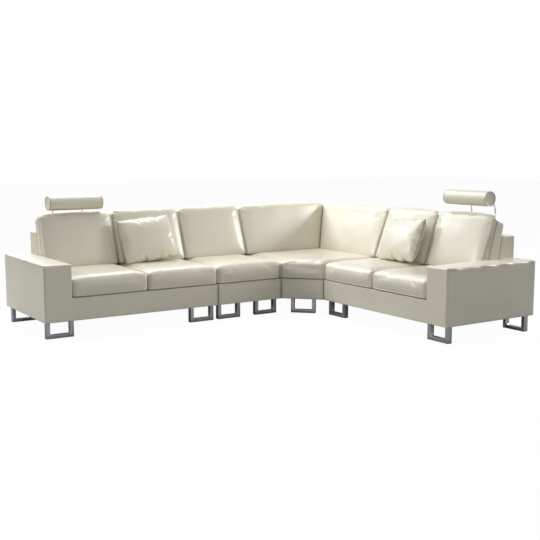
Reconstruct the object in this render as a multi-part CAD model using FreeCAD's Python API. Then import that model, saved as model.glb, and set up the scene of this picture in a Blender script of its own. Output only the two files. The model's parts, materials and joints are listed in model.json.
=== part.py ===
import FreeCAD
import Part
import collections
import math
import os

V = FreeCAD.Vector

# Corner sofa in four sections: a two-seat end with an arm, a single seat, a corner
# seat with a slanted front, and a second two-seat end that mirrors the first.
# Sizes are in millimetres. Both runs are measured from the sofa's outer back corner,
# and the finished pieces are shifted so that the footprint's middle is the origin.

# Layout seen from above
seat_pitch = 600.0
run_depth = 900.0
arm_width = 210.0
corner_setback = 250.0
module_gap = 3.0

# Heights
leg_height = 122.0
base_height = 168.0
arm_rise = 245.0
back_rise = 415.0
seat_thickness = 145.0

# Covers of foam and leather
padding = 18.0
arm_rounding = 14.0
back_rounding = 10.0

# Back frame and back cushions
back_top_thickness = 128.0
back_lean = math.radians(10.5)
back_cushion_rise = 427.0
back_cushion_top_depth = 102.0
back_cushion_rear_drop = 47.0
back_cushion_bottom_depth = 190.0
back_front_rounding = 36.0
back_rear_rounding = 26.0
back_foot_rounding = 14.0
back_end_rounding = 12.0

# Seat cushions
cushion_gap = 3.0
seat_corner_rounding = 26.0
seat_top_rounding = 20.0
seat_foot_rounding = 8.0

# Timber
rail = 30.0
arm_board = 16.0
leg_board = 22.0
leg_board_depth = 110.0
leg_board_margin = 15.0
back_rail_height = 230.0

# Springs
spring_wire = 4.0
spring_width = 50.0
spring_pitch = 26.0
spring_spacing = 105.0
springs_per_seat = 5

# Steel legs
leg_width = 205.0
leg_face = 28.0
leg_bar_depth = 40.0
leg_plate = 4.0
leg_front_inset = 40.0
leg_side_inset = 22.0
leg_screw_spread = 120.0

# Underside
dust_sheet = 1.5
dust_inset = 12.0
link_length = 130.0
link_width = 36.0
link_plate = 3.0
link_inset = 190.0
link_screw_inset = 15.0

# Screws
screw_radius = 3.0
screw_length = 22.0
screw_head_radius = 6.0
screw_tip_radius = 3.6
screw_head = 2.6
screw_clearance = 0.2

# Headrests
roller_radius = 57.0
roller_length = 440.0
roller_rounding = 9.0
roller_depth = 700.0
roller_clearance = 10.0
rod_radius = 5.0
rod_spacing = 245.0
rod_bend = 110.0
rod_insertion = 160.0
core_radius = 9.0
core_margin = 35.0
sleeve_radius = 8.0
sleeve_length = 190.0
sleeve_inset = 57.0
sleeve_flange_radius = 15.0
sleeve_flange = 3.0
rod_clearance = 0.06
right_headrest_raise = 50.0

# Scatter pillows
pillow_width = 470.0
pillow_height = 360.0
pillow_thickness = 140.0
pillow_rim = 24.0
pillow_face_share = 0.42
pillow_shoulder_share = 0.72
pillow_shoulder_thickness = 100.0
pillow_lean = math.radians(22.0)
pillow_clearance = 0.3
left_pillow_offset = -55.0
left_pillow_roll = math.radians(4.7)
right_pillow_offset = -65.0
right_pillow_roll = math.radians(-3.5)
right_pillow_turn = math.radians(6.0)

# Levels and lines that follow from the sizes above
base_top = leg_height + base_height
arm_top = base_top + arm_rise
back_top = base_top + back_rise
seat_top = base_top + seat_thickness
rail_top = base_top - padding - spring_wire
corner_side = run_depth + corner_setback
single_left = -corner_side - seat_pitch
sofa_left = single_left - 2 * seat_pitch - arm_width
mirrored_left = -corner_side - 2 * seat_pitch - arm_width
lean_slope = math.tan(back_lean)
slant_padding = padding / math.cos(back_lean)
leg_top = leg_height - dust_sheet
cushion_top = seat_top + back_cushion_rise
roller_height = cushion_top + roller_clearance + roller_radius
footprint_shift = V(-sofa_left / 2, -mirrored_left / 2, 0)
tolerance = 0.01

Section = collections.namedtuple("Section", "name left right seats armed mirrored")
SECTIONS = [
    Section("left_sofa", sofa_left, single_left, 2, True, False),
    Section("single", single_left, -corner_side, 1, False, False),
    Section("right_sofa", mirrored_left, -corner_side, 2, True, True),
]


def y_at(depth):
    """Place across a run, from the depth behind its front."""
    return depth - run_depth


def back_face(height):
    """Depth of the back frame's leaning front at a height."""
    return run_depth - back_top_thickness - (back_top - height) * lean_slope


def box(x_low, x_high, y_low, y_high, z_low, z_high):
    return Part.makeBox(x_high - x_low, y_high - y_low, z_high - z_low, V(x_low, y_low, z_low))


def flat_face(points):
    return Part.Face(Part.makePolygon(points + points[:1]))


def rounded_face(corners):
    """Flat face whose corners are given as (point, radius)."""
    starts = []
    middles = []
    ends = []
    for index, (point, radius) in enumerate(corners):
        before = (corners[index - 1][0] - point).normalize()
        after = (corners[(index + 1) % len(corners)][0] - point).normalize()
        half = before.getAngle(after) / 2
        inward = (before + after).normalize()
        starts.append(point + before * (radius / math.tan(half)))
        middles.append(point + inward * (radius / math.sin(half) - radius))
        ends.append(point + after * (radius / math.tan(half)))
    edges = []
    for index, start in enumerate(starts):
        if corners[index][1] > 0:
            edges.append(Part.Arc(start, middles[index], ends[index]).toShape())
        edges.append(Part.makeLine(ends[index], starts[(index + 1) % len(starts)]))
    return Part.Face(Part.Wire(edges))


def prism(outline, z_low, z_high):
    """Upright solid on an outline of (x, y) points."""
    return flat_face([V(x, y, z_low) for x, y in outline]).extrude(V(0, 0, z_high - z_low))


def extrude_along_run(face, x_high):
    """Solid that carries a cross-section along the run up to x_high."""
    return face.extrude(V(x_high - face.BoundBox.XMin, 0, 0))


def inset(outline, distance):
    """Convex outline, given anticlockwise, with each side moved inward."""
    moved = []
    for index, (x, y) in enumerate(outline):
        x_before, y_before = outline[index - 1]
        x_after, y_after = outline[(index + 1) % len(outline)]
        arriving = V(x - x_before, y - y_before, 0).normalize()
        leaving = V(x_after - x, y_after - y, 0).normalize()
        inward = V(-arriving.y - leaving.y, arriving.x + leaving.x, 0)
        reach = distance / (1 + arriving.dot(leaving))
        moved.append((x + inward.x * reach, y + inward.y * reach))
    return moved


def edges_where(shape, test):
    return [edge for edge in shape.Edges if test(edge.BoundBox)]


def mirror_run(shape):
    """The same piece on the other run: x and y change places."""
    return shape.mirror(V(0, 0, 0), V(1, -1, 0))


def group(shapes):
    """Separate solids that share one node."""
    solids = []
    for shape in shapes:
        solids.extend(shape.Solids)
    return Part.makeCompound(solids)


def outer_limits(section):
    left = section.left if section.armed else section.left + module_gap / 2
    return left, section.right - module_gap / 2


def back_limits(section):
    left, right = outer_limits(section)
    return (left + arm_width if section.armed else left), right


def seat_lines(section):
    """Seams between seats, from the far end to the corner end."""
    first = section.right - section.seats * seat_pitch
    return [first + index * seat_pitch for index in range(section.seats + 1)]


# Back frame


def back_outer_face(x):
    front_foot = V(x, y_at(back_face(base_top)), base_top)
    front_top = V(x, y_at(back_face(back_top)), back_top)
    return rounded_face([
        (front_foot, 0),
        (V(x, 0, base_top), 0),
        (V(x, 0, back_top), back_rounding),
        (front_top, back_rounding),
    ])


def back_hollow_face(x):
    top = back_top - padding
    return flat_face([
        V(x, y_at(back_face(rail_top) + slant_padding), rail_top),
        V(x, -padding, rail_top),
        V(x, -padding, top),
        V(x, y_at(back_face(top) + slant_padding), top),
    ])


def slab_between(solid, x_low, x_high):
    limits = solid.BoundBox
    return solid.common(box(x_low, x_high, limits.YMin, limits.YMax, limits.ZMin, limits.ZMax))


def layer_between(solid, z_low, z_high):
    limits = solid.BoundBox
    return solid.common(box(limits.XMin, limits.XMax, limits.YMin, limits.YMax, z_low, z_high))


def back_rails(hollow, ribs):
    """Top rail and waist rail of a back, fitted between its ribs."""
    top = layer_between(hollow, back_top - padding - rail, back_top - padding)
    waist = base_top + back_rail_height
    middle = layer_between(hollow, waist, waist + rail)
    return [beam.cut(Part.makeCompound(ribs)) for beam in (top, middle)]


def straight_back(section):
    """Hollow, ribs and rails of the back of a straight section."""
    left, right = back_limits(section)
    hollow = extrude_along_run(back_hollow_face(left + padding), right - padding)
    ribs = [
        slab_between(hollow, left + padding, left + padding + rail),
        slab_between(hollow, right - padding - rail, right - padding),
    ]
    for line in seat_lines(section)[1:-1]:
        ribs.append(slab_between(hollow, line - rail / 2, line + rail / 2))
    cover = extrude_along_run(back_outer_face(left), right).cut(hollow)
    return cover, ribs, back_rails(hollow, ribs)


# Legs and underside


def leg_places(section):
    """Lower corners of the four leg loops under a straight section."""
    left, right = section.left, section.right
    ends = [left + leg_side_inset, right - leg_side_inset - leg_width]
    depths = [leg_front_inset, run_depth - leg_front_inset - leg_bar_depth]
    return [(x, y_at(depth)) for depth in depths for x in ends]


def leg_loop():
    """Rectangular loop of steel bar with its screw plate, along X from the origin."""
    loop = box(0, leg_width, 0, leg_bar_depth, 0, leg_top)
    window = box(leg_face, leg_width - leg_face, 0, leg_bar_depth, leg_face, leg_top - leg_plate)
    loop = loop.cut(window)
    for x, y in leg_screw_places():
        hole = Part.makeCylinder(screw_radius + screw_clearance, leg_plate, V(x, y, leg_top - leg_plate))
        loop = loop.cut(hole)
    return loop


def leg_screw_places():
    middle = leg_width / 2
    return [(middle + side * leg_screw_spread / 2, leg_bar_depth / 2) for side in (-1, 1)]


def screw(x, y, seat_height):
    """Wood screw driven upward, its head under seat_height."""
    shank = Part.makeCylinder(screw_radius, screw_length, V(x, y, seat_height))
    head = Part.makeCone(screw_tip_radius, screw_head_radius, screw_head, V(x, y, seat_height - screw_head))
    return shank.fuse(head)


def screw_hole(x, y):
    return Part.makeCylinder(screw_radius + screw_clearance, screw_length, V(x, y, leg_top))


def leg_boards(section):
    """Boards inside the base that the leg plates are screwed to."""
    left, right = outer_limits(section)
    low = left + padding + rail
    high = right - padding - rail
    front = y_at(padding + rail)
    back = y_at(run_depth - padding - rail)
    boards = []
    for x, y in leg_places(section):
        x_low = max(low, x - leg_board_margin)
        x_high = min(high, x + leg_width + leg_board_margin)
        y_low = front if y < y_at(run_depth / 2) else back - leg_board_depth
        boards.append(box(x_low, x_high, y_low, y_low + leg_board_depth, leg_height, leg_height + leg_board))
    return boards


def link_plates(seam, mirrored):
    """Two steel plates that join the bases on either side of a seam."""
    plates = []
    screws = []
    for depth in (link_inset, run_depth - link_inset):
        y = y_at(depth)
        plate = box(seam - link_length / 2, seam + link_length / 2,
                    y - link_width / 2, y + link_width / 2, leg_top - link_plate, leg_top)
        for side in (-1, 1):
            x = seam + side * (link_length / 2 - link_screw_inset)
            screws.append((x, y, leg_top - link_plate))
            plate = plate.cut(Part.makeCylinder(screw_radius + screw_clearance, link_plate,
                                                V(x, y, leg_top - link_plate)))
        plates.append(plate)
    if mirrored:
        plates = [mirror_run(plate) for plate in plates]
        screws = [(y, x, height) for x, y, height in screws]
    return plates, screws


# Springs


def ribbon(path, width):
    """Outline of a strip of even width that follows a square-cornered path."""
    sides = ([], [])
    for index, (x, y) in enumerate(path):
        turn = V(0, 0, 0)
        for first, second in ((index - 1, index), (index, index + 1)):
            if 0 <= first and second < len(path):
                step = V(path[second][0] - path[first][0], path[second][1] - path[first][1], 0)
                turn = turn + V(-step.y, step.x, 0).normalize()
        for side, sign in zip(sides, (1, -1)):
            side.append((x + sign * turn.x * width / 2, y + sign * turn.y * width / 2))
    return sides[0] + sides[1][::-1]


def zigzag_spring(x, y_low, y_high):
    """Sinuous spring lying on the rails, from front to back."""
    count = int((y_high - y_low) / spring_pitch)
    half = spring_width / 2
    path = []
    for index in range(count + 1):
        side = half if index % 2 else -half
        y = y_low + index * spring_pitch
        path.extend([(x + side, y), (x - side, y)])
    return prism(ribbon(path, spring_wire), rail_top, rail_top + spring_wire)


def seat_springs(middle, y_low, y_high):
    offsets = [index - (springs_per_seat - 1) / 2 for index in range(springs_per_seat)]
    return [zigzag_spring(middle + offset * spring_spacing, y_low, y_high) for offset in offsets]


def straight_springs(section):
    y_low = y_at(padding + rail / 2)
    y_high = y_at(run_depth - padding - rail / 2)
    springs = []
    for line in seat_lines(section)[:-1]:
        springs.extend(seat_springs(line + seat_pitch / 2, y_low, y_high))
    return springs


# Straight sections


def straight_cover(section, ribs):
    """Padded cover over the base, and over the arm where there is one."""
    left, right = outer_limits(section)
    outline = [(left, leg_height), (right, leg_height), (right, base_top)]
    if section.armed:
        outline += [(left + arm_width, base_top), (left + arm_width, arm_top), (left, arm_top)]
    else:
        outline += [(left, base_top)]
    front = flat_face([V(x, y_at(0), z) for x, z in outline])
    cover = front.extrude(V(0, run_depth, 0))
    if section.armed:
        rounded = edges_where(cover, lambda limits: limits.ZMin > arm_top - tolerance)
        rounded += edges_where(cover, lambda limits: limits.XMax < left + tolerance and limits.ZLength > tolerance)
        cover = cover.makeFillet(arm_rounding, rounded)
        cover = cover.cut(box(left + padding, left + arm_width - padding, y_at(padding), -padding,
                              leg_height, arm_top - padding))
    cover = cover.cut(box(left + padding, right - padding, y_at(padding), -padding,
                          leg_height, base_top - padding))
    return cover.cut(Part.makeCompound(ribs))


def base_rails(section, boards):
    left, right = outer_limits(section)
    left += padding
    right -= padding
    front = y_at(padding)
    rails = [
        box(left, right, front, front + rail, leg_height, rail_top),
        box(left, right, -padding - rail, -padding, leg_height, rail_top),
    ]
    crossings = [left + rail / 2, right - rail / 2]
    crossings += seat_lines(section)[1:-1]
    if section.armed:
        crossings.append(section.left + arm_width - padding - rail / 2)
    for x in crossings:
        beam = box(x - rail / 2, x + rail / 2, front + rail, -padding - rail, leg_height, rail_top)
        rails.append(beam.cut(Part.makeCompound(boards)))
    return rails


def arm_timber(section):
    """Side boards, end posts and top board inside an arm."""
    outer = section.left + padding
    inner = section.left + arm_width - padding
    front = y_at(padding)
    back = -padding
    top = arm_top - padding
    return [
        box(outer, outer + arm_board, front, back, rail_top, top),
        box(inner - arm_board, inner, front, back, rail_top, top),
        box(outer + arm_board, inner - arm_board, front, front + rail, rail_top, top - arm_board),
        box(outer + arm_board, inner - arm_board, back - rail, back, rail_top, top - arm_board),
        box(outer + arm_board, inner - arm_board, front, back, top - arm_board, top),
    ]


def dust_cover(outline):
    return prism(inset(outline, dust_inset), leg_top, leg_height)


def section_outline(section):
    left, right = outer_limits(section)
    return [(left, y_at(0)), (right, y_at(0)), (right, 0), (left, 0)]


# Corner section


def corner_outline():
    edge = -corner_side + module_gap / 2
    slant = -run_depth + module_gap / 2
    return [(edge, slant), (slant, edge), (0, edge), (0, 0), (edge, 0)]


def both_runs(solid):
    return solid.fuse(mirror_run(solid)).removeSplitter()


def corner_back():
    """Cover, ribs and rails of the corner's L-shaped back."""
    left = -corner_side + module_gap / 2
    hollow = both_runs(extrude_along_run(back_hollow_face(left + padding), -padding))
    outer = both_runs(extrude_along_run(back_outer_face(left), 0))
    inner = y_at(back_face(rail_top) + slant_padding)
    ribs = [
        slab_between(hollow, left + padding, left + padding + rail),
        slab_between(hollow, inner - rail, inner).common(box(inner - rail, inner, inner, 0, 0, back_top)),
    ]
    ribs += [mirror_run(rib) for rib in ribs]
    return outer.cut(hollow), ribs, back_rails(hollow, ribs)


def corner_cover(ribs):
    outline = corner_outline()
    cover = prism(outline, leg_height, base_top)
    hollow = prism(inset(outline, padding), leg_height, base_top - padding)
    return cover.cut(hollow).cut(Part.makeCompound(ribs))


def corner_rails():
    """Four straight rails and the slanted front rail of the corner base."""
    outline = corner_outline()
    outer = prism(inset(outline, padding), leg_height, rail_top)
    ring = outer.cut(prism(inset(outline, padding + rail), leg_height, rail_top))
    limits = ring.BoundBox
    low, high = limits.XMin, limits.XMax
    strips = [
        box(low, high, high - rail, high, leg_height, rail_top),
        box(high - rail, high, low, high, leg_height, rail_top),
        box(low, low + rail, low, high, leg_height, rail_top),
        box(low, high, low, low + rail, leg_height, rail_top),
    ]
    rails = []
    for strip in strips:
        rails.append(ring.common(strip))
        ring = ring.cut(strip)
    rails.append(ring)
    return rails


def corner_leg_places():
    """Angle and lower corner of each leg loop under the corner section."""
    side_depth = y_at(run_depth - leg_front_inset - leg_bar_depth)
    near_seam = -corner_side + leg_side_inset
    near_corner = -leg_side_inset - leg_width
    middle = -run_depth - corner_setback / 2
    diagonal = math.sqrt(0.5)
    start_x = middle - diagonal * (leg_width / 2) + diagonal * leg_front_inset
    start_y = middle + diagonal * (leg_width / 2) + diagonal * leg_front_inset
    return [
        ("front", -45.0, start_x, start_y),
        ("left", 0.0, near_seam, side_depth),
        ("back", 0.0, near_corner, side_depth),
        ("right", 90.0, side_depth + leg_bar_depth, near_seam),
    ]


def turned(x, y, angle, start_x, start_y):
    """A point of a leg loop after the loop is turned and set down."""
    cosine = math.cos(math.radians(angle))
    sine = math.sin(math.radians(angle))
    return start_x + x * cosine - y * sine, start_y + x * sine + y * cosine


def corner_boards(rails):
    """Boards that the corner's leg plates are screwed to."""
    boards = []
    for _, angle, start_x, start_y in corner_leg_places():
        reach = leg_board_depth / 2
        outline = [
            turned(x, y, angle, start_x, start_y)
            for x, y in (
                (-leg_board_margin, leg_bar_depth / 2 - reach),
                (leg_width + leg_board_margin, leg_bar_depth / 2 - reach),
                (leg_width + leg_board_margin, leg_bar_depth / 2 + reach),
                (-leg_board_margin, leg_bar_depth / 2 + reach),
            )
        ]
        board = prism(outline, leg_height, leg_height + leg_board)
        room = prism(inset(corner_outline(), padding + rail), leg_height, leg_height + leg_board)
        boards.append(board.common(room).cut(Part.makeCompound(rails)))
    return boards


def corner_springs():
    """Springs from the front rails to the rear rail, clear of the side back's ribs."""
    front = -corner_side + padding + rail / 2
    slant = -corner_side - run_depth + (padding + rail / 2) * math.sqrt(2)
    y_high = y_at(run_depth - padding - rail / 2)
    springs = []
    x = y_at(back_face(rail_top)) - rail - spring_width
    while x > -corner_side + padding + rail + spring_spacing / 2:
        y_low = max(front, slant - (x - spring_width / 2))
        springs.append(zigzag_spring(x, y_low, y_high))
        x -= spring_spacing
    return springs


# Cushions


def soft_slab(corners, z_low, z_high):
    """Cushion with rounded upright corners, top edges and bottom edges."""
    face = rounded_face([(V(x, y, z_low), seat_corner_rounding) for x, y in corners])
    slab = face.extrude(V(0, 0, z_high - z_low))
    top = edges_where(slab, lambda limits: limits.ZMin > z_high - tolerance)
    slab = slab.makeFillet(seat_top_rounding, top)
    foot = edges_where(slab, lambda limits: limits.ZMax < z_low + tolerance)
    return slab.makeFillet(seat_foot_rounding, foot)


def seat_cushion(x_low, x_high):
    back = y_at(back_face(base_top))
    low = x_low + cushion_gap / 2
    high = x_high - cushion_gap / 2
    corners = [(low, y_at(0)), (high, y_at(0)), (high, back), (low, back)]
    return soft_slab(corners, base_top, seat_top)


def corner_seat_cushion():
    back = y_at(back_face(base_top))
    edge = -corner_side + cushion_gap / 2
    slant = -run_depth + cushion_gap / 2
    corners = [(edge, slant), (slant, edge), (back, edge), (back, back), (edge, back)]
    return soft_slab(corners, base_top, seat_top)


def back_cushion_face(x):
    """Wedge cross-section that leans on the back frame and stands on the seat."""
    foot = back_face(seat_top)
    rear_top = cushion_top - back_cushion_rear_drop
    rear = back_face(rear_top)
    return rounded_face([
        (V(x, y_at(foot - back_cushion_bottom_depth), seat_top), back_foot_rounding),
        (V(x, y_at(foot), seat_top), back_foot_rounding),
        (V(x, y_at(rear), rear_top), back_rear_rounding),
        (V(x, y_at(rear - back_cushion_top_depth), cushion_top), back_front_rounding),
    ])


def back_cushion(x_low, x_high):
    low = x_low + cushion_gap / 2
    high = x_high - cushion_gap / 2
    cushion = extrude_along_run(back_cushion_face(low), high)
    ends = edges_where(cushion, lambda limits: limits.XLength < tolerance)
    return cushion.makeFillet(back_end_rounding, ends)


def corner_back_cushion():
    """Back cushion whose far end is mitred against its mirror image."""
    low = -corner_side + cushion_gap / 2
    cushion = extrude_along_run(back_cushion_face(low), 0)
    ends = edges_where(cushion, lambda limits: limits.XMax < low + tolerance)
    cushion = cushion.makeFillet(back_end_rounding, ends)
    reach = corner_side
    clear = cushion_gap * math.sqrt(0.5)
    beyond = [(-reach - clear, -reach), (reach, -reach), (reach, reach + clear)]
    return cushion.cut(prism(beyond, seat_top, cushion_top))


# Headrests


def rod_point(x, height):
    """Point on a headrest rod's sliding line at a height."""
    return V(x, -sleeve_inset + (height - back_top) * lean_slope, height)


def rod_direction():
    return V(0, math.sin(back_lean), math.cos(back_lean))


def headrest_rod(x):
    """Bent rod from inside the back up and forward to the roller's middle."""
    start_height = roller_height - rod_bend * (1 + math.sin(back_lean))
    foot = rod_point(x, back_top - rod_insertion)
    start = rod_point(x, start_height)
    middle = start + V(0, -math.cos(back_lean), math.sin(back_lean)) * rod_bend
    crest = middle + V(0, math.cos(math.pi / 4), math.sin(math.pi / 4)) * rod_bend
    end = middle + V(0, 0, rod_bend)
    finish = V(x, y_at(roller_depth), roller_height)
    path = Part.Wire([
        Part.makeLine(foot, start),
        Part.Arc(start, crest, end).toShape(),
        Part.makeLine(end, finish),
    ])
    profile = Part.Wire([Part.makeCircle(rod_radius, foot, rod_direction())])
    return path.makePipeShell([profile], True, False)


def rod_places(middle):
    return [middle + side * rod_spacing / 2 for side in (-1, 1)]


def headrest_frame(middle):
    """Two bent rods welded to the tube that runs inside the roller."""
    length = roller_length - 2 * core_margin
    core = Part.makeCylinder(core_radius, length, V(middle - length / 2, y_at(roller_depth), roller_height),
                             V(1, 0, 0))
    return core.multiFuse([headrest_rod(x) for x in rod_places(middle)])


def headrest_roller(middle, frame):
    start = V(middle - roller_length / 2, y_at(roller_depth), roller_height)
    roller = Part.makeCylinder(roller_radius, roller_length, start, V(1, 0, 0))
    ends = edges_where(roller, lambda limits: limits.XLength < tolerance)
    return roller.makeFillet(roller_rounding, ends).cut(frame)


def sliding_bar(x, radius, low, high):
    """Round bar along a rod's sliding line between two heights."""
    foot = rod_point(x, low)
    return Part.makeCylinder(radius, (high - low) / math.cos(back_lean), foot, rod_direction())


def sleeve_bore(x, radius):
    """Hole along the sliding line that runs out past both ends of the sleeve."""
    return sliding_bar(x, radius, back_top - sleeve_length - sleeve_radius, back_top + sleeve_radius)


def headrest_sleeve(x):
    """Guide tube with a flange that rests on the back's top."""
    tube = sliding_bar(x, sleeve_radius, back_top - sleeve_length, back_top + sleeve_radius)
    tube = layer_between(tube, 0, back_top)
    flange = Part.makeCylinder(sleeve_flange_radius, sleeve_flange, rod_point(x, back_top))
    return tube.fuse(flange).cut(sleeve_bore(x, rod_radius + rod_clearance))


def headrest(middle, raised):
    frame = headrest_frame(middle)
    roller = headrest_roller(middle, frame)
    lift = rod_direction() * raised
    return roller.translated(lift), frame.translated(lift)


# Scatter pillows


def pillow_blank():
    """Pillow standing on edge: full at the middle, thin at the rim."""
    steps = [
        (pillow_thickness / 2, pillow_face_share),
        (pillow_shoulder_thickness / 2, pillow_shoulder_share),
        (pillow_rim / 2, 1.0),
    ]
    layers = [(-y, share) for y, share in steps] + [(y, share) for y, share in steps[::-1]]
    wires = []
    for y, share in layers:
        half_width = pillow_width * share / 2
        half_height = pillow_height * share / 2
        corners = [V(-half_width, y, -half_height), V(half_width, y, -half_height),
                   V(half_width, y, half_height), V(-half_width, y, half_height)]
        wires.append(Part.makePolygon(corners + corners[:1]))
    return Part.makeLoft(wires, True, True)


def leaning_pillow(middle, roll, turn):
    """Pillow set down on the seat and leaned on the back cushion."""
    pillow = pillow_blank()
    pillow.rotate(V(0, 0, 0), V(0, 1, 0), -math.degrees(roll))
    pillow.rotate(V(0, 0, 0), V(1, 0, 0), -math.degrees(pillow_lean))
    pillow.rotate(V(0, 0, 0), V(0, 0, 1), math.degrees(turn))
    pillow.translate(V(middle, 0, seat_top + pillow_clearance - pillow.BoundBox.ZMin))
    foot = V(0, y_at(back_face(seat_top) - back_cushion_bottom_depth), seat_top)
    top = V(0, y_at(back_face(cushion_top - back_cushion_rear_drop) - back_cushion_top_depth), cushion_top)
    along = (top - foot).normalize()
    behind = V(0, along.z, -along.y)
    reach = max((vertex.Point - foot).dot(behind) for vertex in pillow.Vertexes)
    pillow.translate(V(0, -(reach + pillow_clearance) / behind.y, 0))
    return pillow


# Assembly


def add_straight_section(nodes, section, screws):
    place = mirror_run if section.mirrored else (lambda shape: shape)
    cover, ribs, rails = straight_back(section)
    boards = leg_boards(section)
    timber = base_rails(section, boards) + boards + ribs + rails
    if section.armed:
        timber += arm_timber(section)
    pieces = {
        "timber_frame": group(timber),
        "seat_springs": group(straight_springs(section)),
        "base_cover": straight_cover(section, ribs),
        "back_cover": cover,
        "dust_cover": dust_cover(section_outline(section)),
    }
    names = ["front_outer_leg", "front_inner_leg", "rear_outer_leg", "rear_inner_leg"]
    for name, (x, y) in zip(names, leg_places(section)):
        pieces[name] = leg_loop().translated(V(x, y, 0))
        for hole_x, hole_y in leg_screw_places():
            spot = (x + hole_x, y + hole_y, leg_top - leg_plate)
            screws.append(spot if not section.mirrored else (spot[1], spot[0], spot[2]))
    lines = seat_lines(section)
    for index in range(section.seats):
        number = "" if section.seats == 1 else "_" + str(index + 1)
        pieces["seat_cushion" + number] = seat_cushion(lines[index], lines[index + 1])
        pieces["back_cushion" + number] = back_cushion(lines[index], lines[index + 1])
    for role, shape in pieces.items():
        nodes[section.name + "_" + role] = place(shape)


def add_corner_section(nodes, screws):
    cover, ribs, back_beams = corner_back()
    rails = corner_rails()
    boards = corner_boards(rails)
    nodes["corner_timber_frame"] = group(rails + boards + ribs + back_beams)
    nodes["corner_seat_springs"] = group(corner_springs())
    nodes["corner_base_cover"] = corner_cover(ribs)
    nodes["corner_back_cover"] = cover
    nodes["corner_dust_cover"] = dust_cover(corner_outline())
    nodes["corner_seat_cushion"] = corner_seat_cushion()
    nodes["corner_back_cushion_left"] = corner_back_cushion()
    nodes["corner_back_cushion_right"] = mirror_run(corner_back_cushion())
    for name, angle, start_x, start_y in corner_leg_places():
        loop = leg_loop()
        loop.rotate(V(0, 0, 0), V(0, 0, 1), angle)
        nodes["corner_" + name + "_leg"] = loop.translated(V(start_x, start_y, 0))
        for hole_x, hole_y in leg_screw_places():
            x, y = turned(hole_x, hole_y, angle, start_x, start_y)
            screws.append((x, y, leg_top - leg_plate))


def add_headrests(nodes):
    """A headrest over the end seat of each run, with the sleeves it slides in."""
    for side, section, raised in (("left", SECTIONS[0], 0.0), ("right", SECTIONS[2], right_headrest_raise)):
        place = mirror_run if section.mirrored else (lambda shape: shape)
        middle = seat_lines(section)[0] + seat_pitch / 2
        roller, frame = headrest(middle, raised)
        nodes[side + "_headrest_roller"] = place(roller)
        nodes[side + "_headrest_rods"] = place(frame)
        nodes[side + "_headrest_sleeves"] = place(group([headrest_sleeve(x) for x in rod_places(middle)]))
        bores = Part.makeCompound([sleeve_bore(x, sleeve_radius) for x in rod_places(middle)])
        for role in ("timber_frame", "back_cover"):
            name = section.name + "_" + role
            nodes[name] = group([solid.cut(place(bores)) for solid in nodes[name].Solids])


def add_pillows(nodes):
    left_middle = seat_lines(SECTIONS[0])[1] + seat_pitch / 2 + left_pillow_offset
    nodes["left_scatter_pillow"] = leaning_pillow(left_middle, left_pillow_roll, 0)
    right_middle = seat_lines(SECTIONS[2])[1] + seat_pitch / 2 + right_pillow_offset
    pillow = leaning_pillow(right_middle, right_pillow_roll, right_pillow_turn)
    nodes["right_scatter_pillow"] = mirror_run(pillow)


def add_links_and_screws(nodes, screws):
    """Link plates, then every screw with its hole through sheet and timber."""
    plates = []
    for seam, mirrored in ((single_left, False), (-corner_side, False), (-corner_side, True)):
        seam_plates, seam_screws = link_plates(seam, mirrored)
        plates.extend(seam_plates)
        screws.extend(seam_screws)
    nodes["section_link_plates"] = group(plates)
    nodes["base_screws"] = group([screw(x, y, height) for x, y, height in screws])
    holes = Part.makeCompound([screw_hole(x, y) for x, y, _ in screws])
    for name in list(nodes):
        if name.endswith("dust_cover") or name.endswith("timber_frame"):
            nodes[name] = group([solid.cut(holes) for solid in nodes[name].Solids])


def build_nodes():
    nodes = {}
    screws = []
    for section in SECTIONS:
        add_straight_section(nodes, section, screws)
    add_corner_section(nodes, screws)
    add_headrests(nodes)
    add_pillows(nodes)
    add_links_and_screws(nodes, screws)
    return nodes


os.makedirs("parts", exist_ok=True)
for node_name, node_shape in build_nodes().items():
    node_shape.translated(footprint_shift).exportStep("parts/" + node_name + ".step")
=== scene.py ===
import json
import math
from contextlib import contextmanager

import bmesh
import bpy
import numpy as np
from mathutils import Matrix, Vector
from mathutils.bvhtree import BVHTree
from mathutils.kdtree import KDTree

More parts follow.
